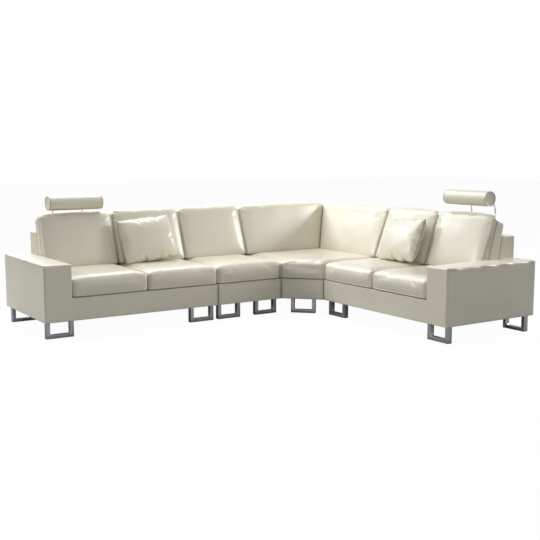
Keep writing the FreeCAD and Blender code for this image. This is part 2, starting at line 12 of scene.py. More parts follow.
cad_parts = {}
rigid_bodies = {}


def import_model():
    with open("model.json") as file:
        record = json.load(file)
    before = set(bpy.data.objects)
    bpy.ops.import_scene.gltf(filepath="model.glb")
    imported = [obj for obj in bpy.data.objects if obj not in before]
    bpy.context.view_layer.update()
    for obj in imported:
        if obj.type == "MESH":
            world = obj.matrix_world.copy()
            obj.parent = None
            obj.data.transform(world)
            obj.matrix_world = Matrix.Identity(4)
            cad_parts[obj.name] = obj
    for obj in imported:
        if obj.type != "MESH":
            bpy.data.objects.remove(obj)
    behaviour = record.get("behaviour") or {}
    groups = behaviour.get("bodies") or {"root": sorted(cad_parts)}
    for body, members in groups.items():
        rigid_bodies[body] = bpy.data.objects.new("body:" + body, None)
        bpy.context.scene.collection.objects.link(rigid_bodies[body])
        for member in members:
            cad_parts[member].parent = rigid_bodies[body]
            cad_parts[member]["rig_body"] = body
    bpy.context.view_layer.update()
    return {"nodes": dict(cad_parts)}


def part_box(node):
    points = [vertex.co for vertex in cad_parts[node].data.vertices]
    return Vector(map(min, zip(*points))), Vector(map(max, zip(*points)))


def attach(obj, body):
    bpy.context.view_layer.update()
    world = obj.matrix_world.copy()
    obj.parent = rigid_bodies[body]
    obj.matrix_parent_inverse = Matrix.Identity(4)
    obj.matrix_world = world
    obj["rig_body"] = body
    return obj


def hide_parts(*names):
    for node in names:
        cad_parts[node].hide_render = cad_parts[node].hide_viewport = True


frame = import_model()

bl_info = {
    "name": "Corner Sofa Upholstery",
    "version": (1, 0, 0),
    "blender": (4, 5, 0),
    "location": "3D View > Sidebar > Corner Sofa",
    "description": "Leather, cushions, steel legs and headrests of a corner sofa on its CAD frame",
    "category": "Object",
}

# Row frame, metres. The right run is the left run mirrored: x and y change places
# about a line through the outer back corner.
MIRROR_STEP = 0.30
RUN_FRONT = 0.38
CORNER_CUT = 0.25
SAME_PLACE = 0.001

# Side view of the back cushions, each place as (y, z).
FOOT_HEIGHT = 0.435
CUSHION_TOP = 0.862
REAR_TOP = 0.815
PROFILE = {
    "front_foot": (RUN_FRONT + 0.53196, FOOT_HEIGHT),
    "rear_foot": (RUN_FRONT + 0.72196, FOOT_HEIGHT),
    "rear_top": (RUN_FRONT + 0.79239, REAR_TOP),
    "front_top": (RUN_FRONT + 0.69039, CUSHION_TOP),
}

SEAT_NODES = [name for name in sorted(frame["nodes"]) if "seat_cushion" in name]
BACK_NODES = [name for name in sorted(frame["nodes"]) if "back_cushion" in name]


# Places on the sofa

def is_mirrored(node):
    return node.startswith("right_") or node == "corner_back_cushion_right"


def mirror_run(points):
    """The same place on the other run."""
    return np.column_stack([points[:, 1] + MIRROR_STEP, points[:, 0] - MIRROR_STEP, points[:, 2]])


def to_run(points, mirrored):
    """Points of the left run moved to a mirrored piece's run, or back again."""
    points = np.asarray(points, float)
    return mirror_run(points) if mirrored else points


def node_box(node):
    """Lowest and highest corner of a node."""
    return tuple(np.array(corner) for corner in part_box(node))


def run_box(node):
    """Lowest and highest corner of a node, as if it stood on the left run."""
    low, high = node_box(node)
    if is_mirrored(node):
        low, high = mirror_run(np.array([low, high]))
    return low, high


def profile_line(foot_name, top_name):
    """Foot, top and direction of one side of the back cushions, as (y, z)."""
    foot, top = np.array(PROFILE[foot_name]), np.array(PROFILE[top_name])
    return foot, top, (top - foot) / np.linalg.norm(top - foot)


def on_frame(piece, node):
    """Let a piece ride with its node's body, and hide the node that it replaces."""
    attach(piece, frame["nodes"][node]["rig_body"])
    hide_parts(node)


# Meshes

def new_object(name, data):
    made = bpy.data.objects.new(name, data)
    bpy.context.scene.collection.objects.link(made)
    return made


def piece_from(name, points, faces, mirrored=False, smooth=True):
    """New object from run coordinates, mirrored onto the right run where asked."""
    points = to_run(points, mirrored)
    if mirrored:
        faces = [tuple(face)[::-1] for face in faces]
    mesh = bpy.data.meshes.new(name)
    mesh.from_pydata([tuple(point) for point in points], [], [tuple(face) for face in faces])
    mesh.update()
    if smooth:
        mesh.shade_smooth()
    else:
        mesh.shade_flat()
    return new_object(name, mesh)


@contextmanager
def edited(piece):
    """The piece's mesh opened for editing, and written back at the end."""
    form = bmesh.new()
    form.from_mesh(piece.data)
    yield form
    form.to_mesh(piece.data)
    form.free()
    piece.data.update()


def coordinates(piece):
    points = np.empty(len(piece.data.vertices) * 3, np.float32)
    piece.data.vertices.foreach_get("co", points)
    return points.reshape(-1, 3).astype(float)


def set_coordinates(piece, points):
    piece.data.vertices.foreach_set("co", np.asarray(points, np.float32).ravel())
    piece.data.update()


def normals(piece):
    values = np.empty(len(piece.data.vertices) * 3, np.float32)
    piece.data.vertex_normals.foreach_get("vector", values)
    return values.reshape(-1, 3).astype(float)


def surface_tree(piece):
    """Search tree of the piece's faces."""
    return BVHTree.FromPolygons([vertex.co for vertex in piece.data.vertices],
                                [tuple(face.vertices) for face in piece.data.polygons])


def evaluated_mesh(piece):
    graph = bpy.context.evaluated_depsgraph_get()
    return bpy.data.meshes.new_from_object(piece.evaluated_get(graph))


def modify(piece, kind, **values):
    modifier = piece.modifiers.new(kind.lower(), kind)
    for key, value in values.items():
        setattr(modifier, key, value)
    return modifier


def apply_modifiers(piece):
    mesh = evaluated_mesh(piece)
    piece.modifiers.clear()
    piece.data = mesh
    mesh.name = piece.name
    mesh.shade_smooth()


def smoothstep(low, high, values):
    share = np.clip((values - low) / (high - low), 0.0, 1.0)
    return share * share * (3 - 2 * share)


def arch(share, power=0.5):
    """0 at both ends, 1 in the middle, steep at the ends for a low power."""
    return np.clip(4 * share * (1 - share), 0.0, 1.0) ** power


def ripple(points, seed, size):
    """Smooth pattern from about -1 to 1 with waves about size long, the same each run."""
    waves = 7
    numbers = np.random.RandomState(seed)
    total = np.zeros(len(points))
    for _ in range(waves):
        direction = numbers.normal(size=3)
        direction /= np.linalg.norm(direction)
        wave = size * numbers.uniform(0.7, 1.6)
        phase = numbers.uniform(0, 2 * math.pi)
        total += np.sin(points @ direction * (2 * math.pi / wave) + phase)
    return total / 4.0


def face_at(normal, place):
    """Flat face as its inward unit normal and a place on it."""
    normal = np.array(normal, float)
    return normal / np.linalg.norm(normal), np.array(place, float)


def rounded_edge(points, first, second, radius):
    """Squeeze the edge between two faces round."""
    gaps = []
    for normal, place in (first, second):
        gaps.append(radius - (points - place) @ normal)
    near = (gaps[0] > 0) & (gaps[1] > 0)
    reach = np.hypot(*gaps)
    share = np.where(near, 1 - np.maximum(*gaps) / np.maximum(reach, 1e-9), 0.0)
    first_step = (gaps[0] * share)[:, None] * first[0]
    second_step = (gaps[1] * share)[:, None] * second[0]
    return points + first_step + second_step


def solid_from(name, points, faces, roundings, mirrored, step):
    """Closed block with rounded edges, its faces cut into cells about step wide.

    roundings holds (test, radius). The first test that holds for an edge's two ends
    sets its radius.
    """
    piece = new_object(name, bpy.data.meshes.new(name))
    widest = max(radius for _, radius in roundings)
    with edited(piece) as form:
        corners = [form.verts.new(tuple(point)) for point in points]
        for face in faces:
            form.faces.new([corners[index] for index in face])
        bmesh.ops.recalc_face_normals(form, faces=form.faces)
        weights = form.edges.layers.float.new("bevel_weight_edge")
        for edge in form.edges:
            ends = [np.array(vertex.co) for vertex in edge.verts]
            radius = next((radius for test, radius in roundings if test(*ends)), 0.0)
            edge[weights] = radius / widest
    modify(piece, "BEVEL", limit_method="WEIGHT", width=widest, segments=4)
    apply_modifiers(piece)
    cut_into_cells(piece, step)
    if mirrored:
        set_coordinates(piece, mirror_run(coordinates(piece)))
        piece.data.flip_normals()
    return piece


def cut_into_cells(piece, step):
    """Cut the faces along planes step apart, so that they can be shaped."""
    points = coordinates(piece)
    low, high = points.min(0), points.max(0)
    with edited(piece) as form:
        for axis in range(3):
            count = max(1, int(round((high[axis] - low[axis]) / step)))
            normal = [0.0, 0.0, 0.0]
            normal[axis] = 1.0
            for index in range(1, count):
                place = list(low)
                place[axis] = low[axis] + (high[axis] - low[axis]) * index / count
                bmesh.ops.bisect_plane(form, geom=form.verts[:] + form.edges[:] + form.faces[:],
                                       dist=0.00005, plane_co=place, plane_no=normal)


def without_faces(piece, test):
    """Take out the faces whose middle and normal pass a test."""
    with edited(piece) as form:
        form.normal_update()
        gone = [face for face in form.faces
                if test(np.array(face.calc_center_median()), np.array(face.normal))]
        bmesh.ops.delete(form, geom=gone, context="FACES")


def slackened(piece, seed, depth, size):
    """Let taut leather sink unevenly between its edges."""
    points = coordinates(piece)
    facing = normals(piece)
    low, high = points.min(0), points.max(0)
    edge_near = np.sort(np.minimum(points - low, high - points), axis=1)[:, 1]
    free = smoothstep(0.0, 0.06, edge_near)
    sink = depth * (0.5 + 0.5 * ripple(points, seed, size)) * free
    set_coordinates(piece, points - facing * sink[:, None])


def tube(path, radius, closed=False):
    """Round cord along a path: points and quads, with its ends closed."""
    sides = 8
    count = len(path)
    along = np.roll(path, -1, 0) - np.roll(path, 1, 0) if closed else np.gradient(path, axis=0)
    along /= np.maximum(np.linalg.norm(along, axis=1), 1e-12)[:, None]
    side = np.cross(along[0], (0.0, 0.0, 1.0))
    if np.linalg.norm(side) < 0.1:
        side = np.cross(along[0], (1.0, 0.0, 0.0))
    points = []
    for index in range(count):
        side = side - along[index] * (side @ along[index])
        side /= np.linalg.norm(side)
        other = np.cross(along[index], side)
        for corner in range(sides):
            angle = 2 * math.pi * corner / sides
            points.append(path[index] + radius * (math.cos(angle) * side + math.sin(angle) * other))
    faces = []
    for index in range(count if closed else count - 1):
        start = index * sides
        following = ((index + 1) % count) * sides
        for corner in range(sides):
            neighbour = (corner + 1) % sides
            faces.append((start + corner, start + neighbour,
                          following + neighbour, following + corner))
    if not closed:
        faces.append(tuple(range(sides))[::-1])
        faces.append(tuple((count - 1) * sides + corner for corner in range(sides)))
    return points, faces


def add_to(piece, points, faces):
    """Join more surface to a piece."""
    with edited(piece) as form:
        corners = [form.verts.new(tuple(point)) for point in points]
        for face in faces:
            made = form.faces.new([corners[index] for index in face])
            made.smooth = True


def even_path(points, step):
    """The same line with its points step apart."""
    points = np.asarray(points, float)
    spans = np.linalg.norm(np.diff(points, axis=0), axis=1)
    lengths = np.concatenate([[0], np.cumsum(spans)])
    count = max(2, int(round(lengths[-1] / step)) + 1)
    marks = np.linspace(0, lengths[-1], count)
    return np.column_stack([np.interp(marks, lengths, points[:, axis]) for axis in range(3)])


def laid_on(piece, path):
    """The path moved onto the piece's surface, and the surface's normals there."""
    surface = surface_tree(piece)
    hits = [surface.find_nearest(Vector(point)) for point in path]
    return (np.array([place for place, _, _, _ in hits], float),
            np.array([normal for _, normal, _, _ in hits], float))


def evened(path, closed):
    """The path with its small kinks evened out."""
    for _ in range(3):
        if closed:
            path = (np.roll(path, 1, 0) + 2 * path + np.roll(path, -1, 0)) / 4
        else:
            middle = (path[:-2] + 2 * path[1:-1] + path[2:]) / 4
            path = np.concatenate([path[:1], middle, path[-1:]])
    return path


def piping(piece, path, radius, sink, closed=False):
    """Leather-covered cord sewn into a seam. sink is its depth in radii, less than 0 stands out."""
    path = even_path(path, radius * 2.2)
    if closed:
        path = path[:-1]
    places, facing = laid_on(piece, path)
    add_to(piece, *tube(evened(places - facing * radius * sink, closed), radius, closed))


def paint_seam_shade(piece, paths, reach):
    """Store how near each vertex is to a seam or gap, from 0 to 1, as the mask of the painted shade
    that the leather's finish darkens there.
    """
    marks = [point for path in paths for point in even_path(path, reach / 2)]
    tree = KDTree(len(marks))
    for index, point in enumerate(marks):
        tree.insert(Vector(point), index)
    tree.balance()
    distances = [tree.find(vertex.co)[2] for vertex in piece.data.vertices]
    attribute = piece.data.attributes.new("crease", "FLOAT", "POINT")
    attribute.data.foreach_set("value", [math.exp(-(gap / reach) ** 2) for gap in distances])


# Soft pieces

def voxel_copy(node, voxel):
    """Closed, evenly meshed copy of a CAD cushion, its small steps smoothed away."""
    piece = new_object(node + "_leather", frame["nodes"][node].data.copy())
    piece.data.materials.clear()
    modify(piece, "WELD", merge_threshold=0.00001)
    modify(piece, "REMESH", mode="VOXEL", voxel_size=voxel, use_smooth_shade=True)
    modify(piece, "SMOOTH", factor=0.5, iterations=2)
    apply_modifiers(piece)
    return piece


def inflate(pieces, held, pressure, cap, frames=20, stiffness=15.0, bending=2.0):
    """Blow the pieces up as closed cloth.

    held gives each vertex's hold, from 0 to 1. No vertex moves further than cap.
    """
    starts = []
    for piece, hold in zip(pieces, held):
        starts.append(coordinates(piece))
        group = piece.vertex_groups.new(name="held")
        for index in np.nonzero(hold > 0.01)[0]:
            group.add([int(index)], float(hold[index]), "REPLACE")
        cloth = piece.modifiers.new("cloth", "CLOTH")
        settings = cloth.settings
        settings.quality = 5
        settings.mass = 0.3
        settings.tension_stiffness = stiffness
        settings.compression_stiffness = stiffness
        settings.shear_stiffness = stiffness / 3
        settings.bending_stiffness = bending
        settings.air_damping = 2.0
        settings.use_pressure = True
        settings.uniform_pressure_force = pressure
        settings.effector_weights.gravity = 0.0
        if hold.max() > 0.01:
            settings.vertex_group_mass = "held"
            settings.pin_stiffness = 2.0
        cloth.collision_settings.use_collision = False
        cloth.point_cache.frame_start = 1
        cloth.point_cache.frame_end = frames
    scene = bpy.context.scene
    for number in range(1, frames + 1):
        scene.frame_set(number)
    for piece, start in zip(pieces, starts):
        mesh = evaluated_mesh(piece)
        piece.modifiers.clear()
        piece.data = mesh
        step = coordinates(piece) - start
        length = np.linalg.norm(step, axis=1)
        limited = cap * np.tanh(length / cap)
        set_coordinates(piece, start + step * (limited / np.maximum(length, 1e-9))[:, None])
        piece.vertex_groups.clear()
    scene.frame_set(1)


def settled(piece, passes):
    """Even out the small dents that the simulation leaves."""
    modify(piece, "SMOOTH", factor=0.5, iterations=passes)
    apply_modifiers(piece)


def subdivide(piece):
    modify(piece, "SUBSURF", levels=1, render_levels=1)
    apply_modifiers(piece)


def finish_soft(piece, node):
    """Give a soft piece its leather and its place on the frame."""
    piece.data.materials.clear()
    piece.data.materials.append(leather())
    piece.data.shade_smooth()
    on_frame(piece, node)


# Finishes

WHITE = (1.0, 1.0, 1.0, 1.0)
MADE_FINISHES = {}


def finish_named(name, make):
    """The finish of that name, made the first time it is asked for."""
    if name not in MADE_FINISHES:
        finish = Finish(name)
        make(finish)
        MADE_FINISHES[name] = finish.material
    return MADE_FINISHES[name]


class Nodes:
    """Builds the node tree of a material or world, one plain step at a time."""

    def __init__(self, owner):
        owner.use_nodes = True
        self.tree = owner.node_tree
        self.tree.nodes.clear()

    def node(self, kind, **values):
        made = self.tree.nodes.new(kind)
        for key, value in values.items():
            setattr(made, key, value)
        return made

    def feed(self, target, value):
        """Link a value that comes from a node, and set a plain one."""
        if isinstance(value, bpy.types.NodeSocket):
            self.tree.links.new(value, target)
        else:
            target.default_value = value

    def set(self, node, **values):
        """Feed inputs by name, with _ for the spaces in a name."""
        for key, value in values.items():
            self.feed(node.inputs[key.replace("_", " ")], value)
        return node

    def math(self, operation, first, second):
        made = self.node("ShaderNodeMath", operation=operation)
        self.feed(made.inputs[0], first)
        self.feed(made.inputs[1], second)
        return made.outputs["Value"]

    def white_light(self, kind, strength):
        return self.set(self.node(kind), Color=WHITE, Strength=strength).outputs[0]

    def mixed_shader(self, share, first, second):
        """Shader that goes from first to second as share goes from 0 to 1."""
        made = self.node("ShaderNodeMixShader")
        for target, source in zip(made.inputs, (share, first, second)):
            self.feed(target, source)
        return made.outputs[0]


class Finish(Nodes):
    """Node material round one principled surface."""

    def __init__(self, name):
        self.material = bpy.data.materials.new(name)
        super().__init__(self.material)
        self.surface = self.node("ShaderNodeBsdfPrincipled")
        self.set(self.node("ShaderNodeOutputMaterial"), Surface=self.surface.outputs["BSDF"])
        self.place = self.node("ShaderNodeTexCoord").outputs["Object"]

    def noise(self, scale, detail=3.0, roughness=0.55, stretch=None):
        place = self.place
        if stretch is not None:
            mapping = self.node("ShaderNodeMapping")
            place = self.set(mapping, Vector=place, Scale=stretch).outputs["Vector"]
        made = self.node("ShaderNodeTexNoise")
        self.set(made, Vector=place, Scale=scale, Detail=detail, Roughness=roughness)
        return made.outputs["Fac"]

    def cells(self, scale):
        made = self.node("ShaderNodeTexVoronoi", feature="F1")
        return self.set(made, Vector=self.place, Scale=scale).outputs["Distance"]

    def attribute(self, name):
        return self.node("ShaderNodeAttribute", attribute_name=name).outputs["Fac"]

    def between(self, source, low, high, to_low, to_high):
        made = self.node("ShaderNodeMapRange")
        self.set(made, Value=source, From_Min=low, From_Max=high, To_Min=to_low, To_Max=to_high)
        return made.outputs["Result"]

    def tint(self, factor, first, second):
        """Colour that goes from first to second as factor goes from 0 to 1."""
        made = self.node("ShaderNodeMix", data_type="RGBA")
        self.feed(made.inputs[0], factor)
        for target, value in ((made.inputs[6], first), (made.inputs[7], second)):
            self.feed(target, (*value, 1.0) if isinstance(value, tuple) else value)
        return made.outputs[2]

    def bump(self, layers):
        """Bumps stacked from coarse to fine, each (height, depth in metres, strength)."""
        below = None
        for height, depth, strength in layers:
            made = self.set(self.node("ShaderNodeBump"), Height=height, Distance=depth,
                            Strength=strength)
            if below is not None:
                self.set(made, Normal=below)
            below = made.outputs["Normal"]
        self.set(self.surface, Normal=below)


def scaled(colour, factor):
    return tuple(min(1.0, channel * factor) for channel in colour)


def leather():
    return finish_named("grained_ivory_leather", grained_leather)


def grained_leather(finish):
    """Ivory leather: pebbled grain, fine creasing, soft gloss, and painted shade that darkens it
    along the seams and gaps.
    """
    settings = bpy.context.scene.sofa_leather
    colour = tuple(settings.colour)
    mottle = finish.noise(3.2, 4.0)
    fine = finish.noise(38.0, 3.0)
    pores = finish.cells(settings.grain_per_metre)
    # Mask of the painted shade along seams and gaps.
    crease = finish.attribute("crease")
    tone = finish.tint(finish.between(mottle, 0.3, 0.7, 0.0, 1.0),
                       scaled(colour, 0.965), scaled(colour, 1.02))
    tone = finish.tint(finish.between(fine, 0.35, 0.7, 0.0, 0.35), tone, scaled(colour, 0.93))
    # Painted shade: near seams and gaps the colour goes strongly darker, for the shade that falls
    # in the gaps.
    shaded = (colour[0] * 0.30, colour[1] * 0.27, colour[2] * 0.22)
    tone = finish.tint(finish.between(crease, 0.0, 1.0, 0.0, 0.85), tone, shaded)
    rough = settings.roughness
    gloss = finish.between(mottle, 0.3, 0.7, rough - 0.04, rough + 0.05)
    gloss = finish.math("ADD", gloss, finish.between(crease, 0.0, 1.0, 0.0, 0.14))
    finish.set(finish.surface, Base_Color=tone, Roughness=gloss, Specular_IOR_Level=0.5,
               Coat_Weight=0.45, Coat_Roughness=0.24)
    finish.bump([
        (finish.noise(14.0, 2.0), 0.004, settings.crumple),
        (finish.noise(75.0, 3.0, 0.6), 0.0012, settings.crumple * 1.3),
        (pores, 0.00035, settings.grain_depth),
    ])


def brushed_steel(finish):
    """Brushed steel of the legs: fine lines along each bar and faint handling marks."""
    colour = tuple(bpy.context.scene.sofa_metal.steel_colour)
    lines = finish.noise(240.0, 2.0, 0.6, (1.0, 1.0, 0.03))
    marks = finish.noise(16.0, 4.0)
    tone = finish.tint(finish.between(lines, 0.3, 0.7, 0.0, 1.0),
                       scaled(colour, 0.92), scaled(colour, 1.06))
    rough = finish.between(marks, 0.3, 0.7, 0.26, 0.38)
    finish.set(finish.surface, Base_Color=tone, Metallic=1.0, Roughness=rough)
    finish.bump([(lines, 0.0002, 0.12)])


def chrome_plate(finish):
    """Polished chrome of the headrest rods, with a faint haze."""
    colour = tuple(bpy.context.scene.sofa_metal.chrome_colour)
    haze = finish.noise(30.0, 3.0)
    tone = finish.tint(haze, scaled(colour, 0.96), scaled(colour, 1.03))
    rough = finish.between(haze, 0.3, 0.8, 0.06, 0.16)
    finish.set(finish.surface, Base_Color=tone, Metallic=1.0, Roughness=rough)
    finish.bump([(finish.noise(420.0, 2.0), 0.0001, 0.05)])


def plain_finish(name, colour, other, roughness, scale, depth, metallic=0.0, stretch=None):
    """Finish with two tones in a noise pattern: timber, oiled steel, zinc, nylon or felt."""

    def two_tones(finish):
        pattern = finish.noise(scale, 4.0, 0.6, stretch)
        tone = finish.tint(finish.between(pattern, 0.3, 0.7, 0.0, 1.0), colour, other)
        rough = finish.between(pattern, 0.3, 0.7, roughness - 0.06, roughness + 0.06)
        finish.set(finish.surface, Base_Color=tone, Metallic=metallic, Roughness=rough)
        finish.bump([(pattern, depth, 0.3)])

    return finish_named(name, two_tones)


def dress(node, material):
    """Put a finish on a CAD node that is shown as it is."""
    mesh = frame["nodes"][node].data
    mesh.materials.clear()
    mesh.materials.append(material)


# Seat cushions

# How far the filling blows a cushion out at most.
SEAT_CAP = 0.010
BACK_CAP = 0.012

# How far a blown-up seat cushion may stand past its solid.
SIDE_ROOM = 0.0005
FRONT_ROOM = 0.010
TOP_ROOM = 0.012

# Gap that each corner back cushion keeps to the mitre, and the depth of small wrinkles.
MITRE_GAP = 0.0015
WRINKLE_DEPTH = 0.0016


def at_ends(share):
    """Whether a place is at one of the two ends of a cushion."""
    return (share < 0.012) | (share > 0.988)


def front_wrinkles(points, across, seed):
    """Upright wrinkles in one part of a seat cushion's front."""
    start = 0.68 if seed % 2 else 0.06
    window = smoothstep(start - 0.04, start, across)
    window *= 1 - smoothstep(start + 0.22, start + 0.27, across)
    upright = points * (1.0, 0.3, 0.25)
    return WRINKLE_DEPTH * ripple(upright, seed + 2, 0.035) * window


def seat_cushion_blank(node, settings):
    """Cushion before it is blown up: crowned top, pulled-in sides, firm foot."""
    piece = voxel_copy(node, settings.cell)
    mirrored = is_mirrored(node)
    corner = node.startswith("corner")
    low, high = run_box(node)
    points = to_run(coordinates(piece), mirrored)
    share = (points - low) / (high - low)
    crown = arch(share[:, 0], 0.45) * arch(share[:, 1], 0.45)
    if corner:
        slant = (points[:, 0] - low[0] + points[:, 1] - low[1] - CORNER_CUT) / math.sqrt(2)
        crown *= smoothstep(-0.01, 0.13, slant) ** 0.5
    lift = settings.seat_crown * crown - settings.seat_edge_drop
    points[:, 2] += lift * smoothstep(0.15, 0.95, share[:, 2])
    bulge = arch(share[:, 2], 0.7) * arch(share[:, 0], 0.3)
    front = 1 - smoothstep(0.0, 0.05, share[:, 1])
    points[:, 1] -= (settings.front_bulge * bulge - 0.003) * front
    seed = sum(ord(letter) for letter in node)
    unevenness = 0.0012 * ripple(points, seed, 0.16)
    points[:, 2] += unevenness * smoothstep(0.6, 0.95, share[:, 2])
    if not corner:
        points[:, 1] += front_wrinkles(points, share[:, 0], seed) * front
    points = rounded_seat(points, corner, low, high, settings)
    set_coordinates(piece, to_run(points, mirrored))
    hold = np.where(share[:, 2] < 0.12, 1.0, 0.0)
    hold = np.maximum(hold, 0.8 * (share[:, 1] > 0.97))
    hold = np.maximum(hold, 0.5 * at_ends(share[:, 0]))
    return piece, hold


def rounded_seat(points, corner, low, high, settings):
    """Round a seat cushion's edges at the front, along the top and at the foot."""
    top_face = face_at((0, 0, -1), high)
    foot_face = face_at((0, 0, 1), low)
    sides = [face_at((1, 0, 0), low), face_at((-1, 0, 0), high)]
    front = face_at((0, 1, 0), low)
    if corner:
        sides[1] = face_at((0, 1, 0), low)
        front = face_at((1, 1, 0), low + (0.0, CORNER_CUT, 0.0))
    for side in sides:
        points = rounded_edge(points, front, side, settings.edge_rounding * 1.3)
    points = rounded_edge(points, front, top_face, settings.seat_rounding)
    points = rounded_edge(points, front, foot_face, settings.edge_rounding * 0.45)
    for side in sides:
        points = rounded_edge(points, side, top_face, settings.edge_rounding * 1.2)
    return points


def keep_between(piece, node):
    """Press a seat cushion's sides flat against its neighbours."""
    mirrored = is_mirrored(node)
    low, high = run_box(node)
    low = low - (SIDE_ROOM, FRONT_ROOM, 0.0)
    high = high + (SIDE_ROOM, 0.0, TOP_ROOM)
    points = np.clip(to_run(coordinates(piece), mirrored), low, high)
    set_coordinates(piece, to_run(points, mirrored))


def seat_outline(node):
    """Corners of a seat cushion from above, in run coordinates, from the rear of one side."""
    low, high = run_box(node)
    if node.startswith("corner"):
        return [(low[0], high[1]), (low[0], low[1] + CORNER_CUT),
                (low[0] + CORNER_CUT, low[1]), (high[0], low[1])]
    return [(low[0], high[1]), (low[0], low[1]), (high[0], low[1]), (high[0], high[1])]


def at_height(outline, height):
    return np.array([(x, y, height) for x, y in outline])


def seat_gaps(node):
    """Lines where a seat cushion meets the base and its neighbours, along which the leather gets
    painted shade.
    """
    low, high = run_box(node)
    outline = seat_outline(node)
    lines = [at_height(outline, low[2] - 0.002)]
    for first, second in (outline[:2], outline[2:]):
        lines.append(at_height((first, second), high[2] - 0.014))
    for x, y in outline[1:3]:
        lines.append(np.array([(x, y, low[2]), (x, y, high[2] - 0.02)]))
    rear = PROFILE["front_foot"][0] - 0.004
    lines.append(at_height([(low[0], rear), (high[0], rear)], FOOT_HEIGHT))
    if node.startswith("corner"):
        other = [(high[1] + MIRROR_STEP, rear), (low[1] + MIRROR_STEP, rear)]
        lines.append(mirror_run(at_height(other, FOOT_HEIGHT)))
    return lines


# Back cushions

def side_seam(x):
    """Seam between the front panel and the side boxing of a back cushion."""
    foot, top, _ = profile_line("front_foot", "front_top")
    lines = [
        foot + (0.060, 0.012),
        foot + (top - foot) * 0.35 + (0.040, 0.0),
        foot + (top - foot) * 0.70 + (0.024, 0.0),
        foot + (top - foot) * 0.90 + (0.018, -0.004),
    ]
    return np.array([(x, y, z) for y, z in lines])


def back_gaps(low_x, high_x):
    """Lines where a back cushion meets the seat and its neighbours, along which the leather gets
    painted shade.
    """
    foot, top = PROFILE["front_foot"], PROFILE["front_top"]
    lines = [np.array([(low_x, *foot), (high_x, *foot)])]
    for x in (low_x, high_x):
        lines.append(np.array([(x, *foot), (x, *top)]))
    return lines


def back_cushion_blank(node, settings):
    """Cushion before it is blown up: swollen front, crowned top, round corners, firm foot."""
    piece = voxel_copy(node, settings.cell)
    mirrored = is_mirrored(node)
    corner = node.startswith("corner")
    low, high = run_box(node)
    points = to_run(coordinates(piece), mirrored)
    foot, top, along = profile_line("front_foot", "front_top")
    outward = np.array([-along[1], along[0]])
    height = (points[:, 1:] - foot) @ along / np.linalg.norm(top - foot)
    behind = -((points[:, 1:] - foot) @ outward)
    share = (points[:, 0] - low[0]) / (high[0] - low[0])
    if corner:
        mitre = points[:, 1] + MIRROR_STEP
        share = np.clip((points[:, 0] - low[0]) / (mitre - low[0]), 0, 1)
    front = 1 - smoothstep(0.0, 0.05, behind)
    swell = arch(share, 0.42) * arch(np.clip(height, 0, 1), 0.55)
    points[:, 1:] += outward * (settings.back_bulge * swell * front)[:, None]
    ends = arch(share, 0.4)
    under_roller = node == "left_sofa_back_cushion_1"
    crown = settings.crown_under_roller if under_roller else settings.back_crown
    points[:, 2] += (crown * ends - 0.006 * (1 - ends)) * smoothstep(0.80, 1.0, height)
    seed = sum(ord(letter) * 3 for letter in node)
    points[:, 1] += WRINKLE_DEPTH * ripple(points, seed, 0.2) * front
    front_face = face_at((0, *-outward), (0, *foot))
    top_face = face_at((0, *-along), (0, *top))
    foot_face = face_at((0, 0, 1), (0, 0, FOOT_HEIGHT))
    sides = [face_at((1, 0, 0), low), face_at((-1, 0, 0), high)]
    if corner:
        sides[1] = face_at((-1, 1, 0), (MIRROR_STEP, 0, 0))
    for side in sides:
        points = rounded_edge(points, side, top_face, settings.corner_rounding)
        points = rounded_edge(points, side, front_face, settings.edge_rounding)
    points = rounded_edge(points, front_face, foot_face, settings.edge_rounding * 0.8)
    set_coordinates(piece, to_run(points, mirrored))
    return piece, back_hold(points, share)


def back_hold(points, share):
    """Hold of a back cushion at its foot, its rear and its ends."""
    foot, _, along = profile_line("rear_foot", "rear_top")
    beside = (points[:, 1] - foot[0]) * along[1] - (points[:, 2] - foot[1]) * along[0]
    hold = np.where(points[:, 2] < FOOT_HEIGHT + 0.012, 1.0, 0.0)
    hold = np.maximum(hold, 0.9 * (np.abs(beside) < 0.006))
    return np.maximum(hold, 0.45 * at_ends(share))


# Settings

def number_setting(name, note, default, low, high, **more):
    return bpy.props.FloatProperty(name=name, description=note, default=default,
                                   min=low, max=high, **more)


def length_setting(name, note, default, low, high):
    return number_setting(name, note, default, low, high, subtype="DISTANCE", unit="LENGTH")


def share_setting(name, note, default, low=0.0):
    return number_setting(name, note, default, low, 1.0, subtype="FACTOR")


def power_setting(name, note, default):
    return number_setting(name, note, default, 0.0, 2000.0, subtype="POWER", unit="POWER")


def angle_setting(name, note, degrees):
    return bpy.props.FloatProperty(name=name, description=note, default=math.radians(degrees),
                                   subtype="ANGLE", unit="ROTATION")


def colour_setting(name, note, default):
    return bpy.props.FloatVectorProperty(name=name, description=note, default=default,
                                         subtype="COLOR", size=3, min=0.0, max=1.0)


class SofaLeatherSettings(bpy.types.PropertyGroup):
    colour: colour_setting("Colour", "Colour of the leather", (0.76, 0.725, 0.60))
    roughness: share_setting("Roughness", "How matt the leather is", 0.40, 0.1)
    grain_per_metre: number_setting(
        "Grain", "Pebbles of the grain in one metre", 620.0, 100.0, 2000.0)
    grain_depth: share_setting("Grain Depth", "Strength of the pebbled grain", 0.35)
    crumple: share_setting("Crumple", "Strength of the fine creasing of worn leather", 0.16)


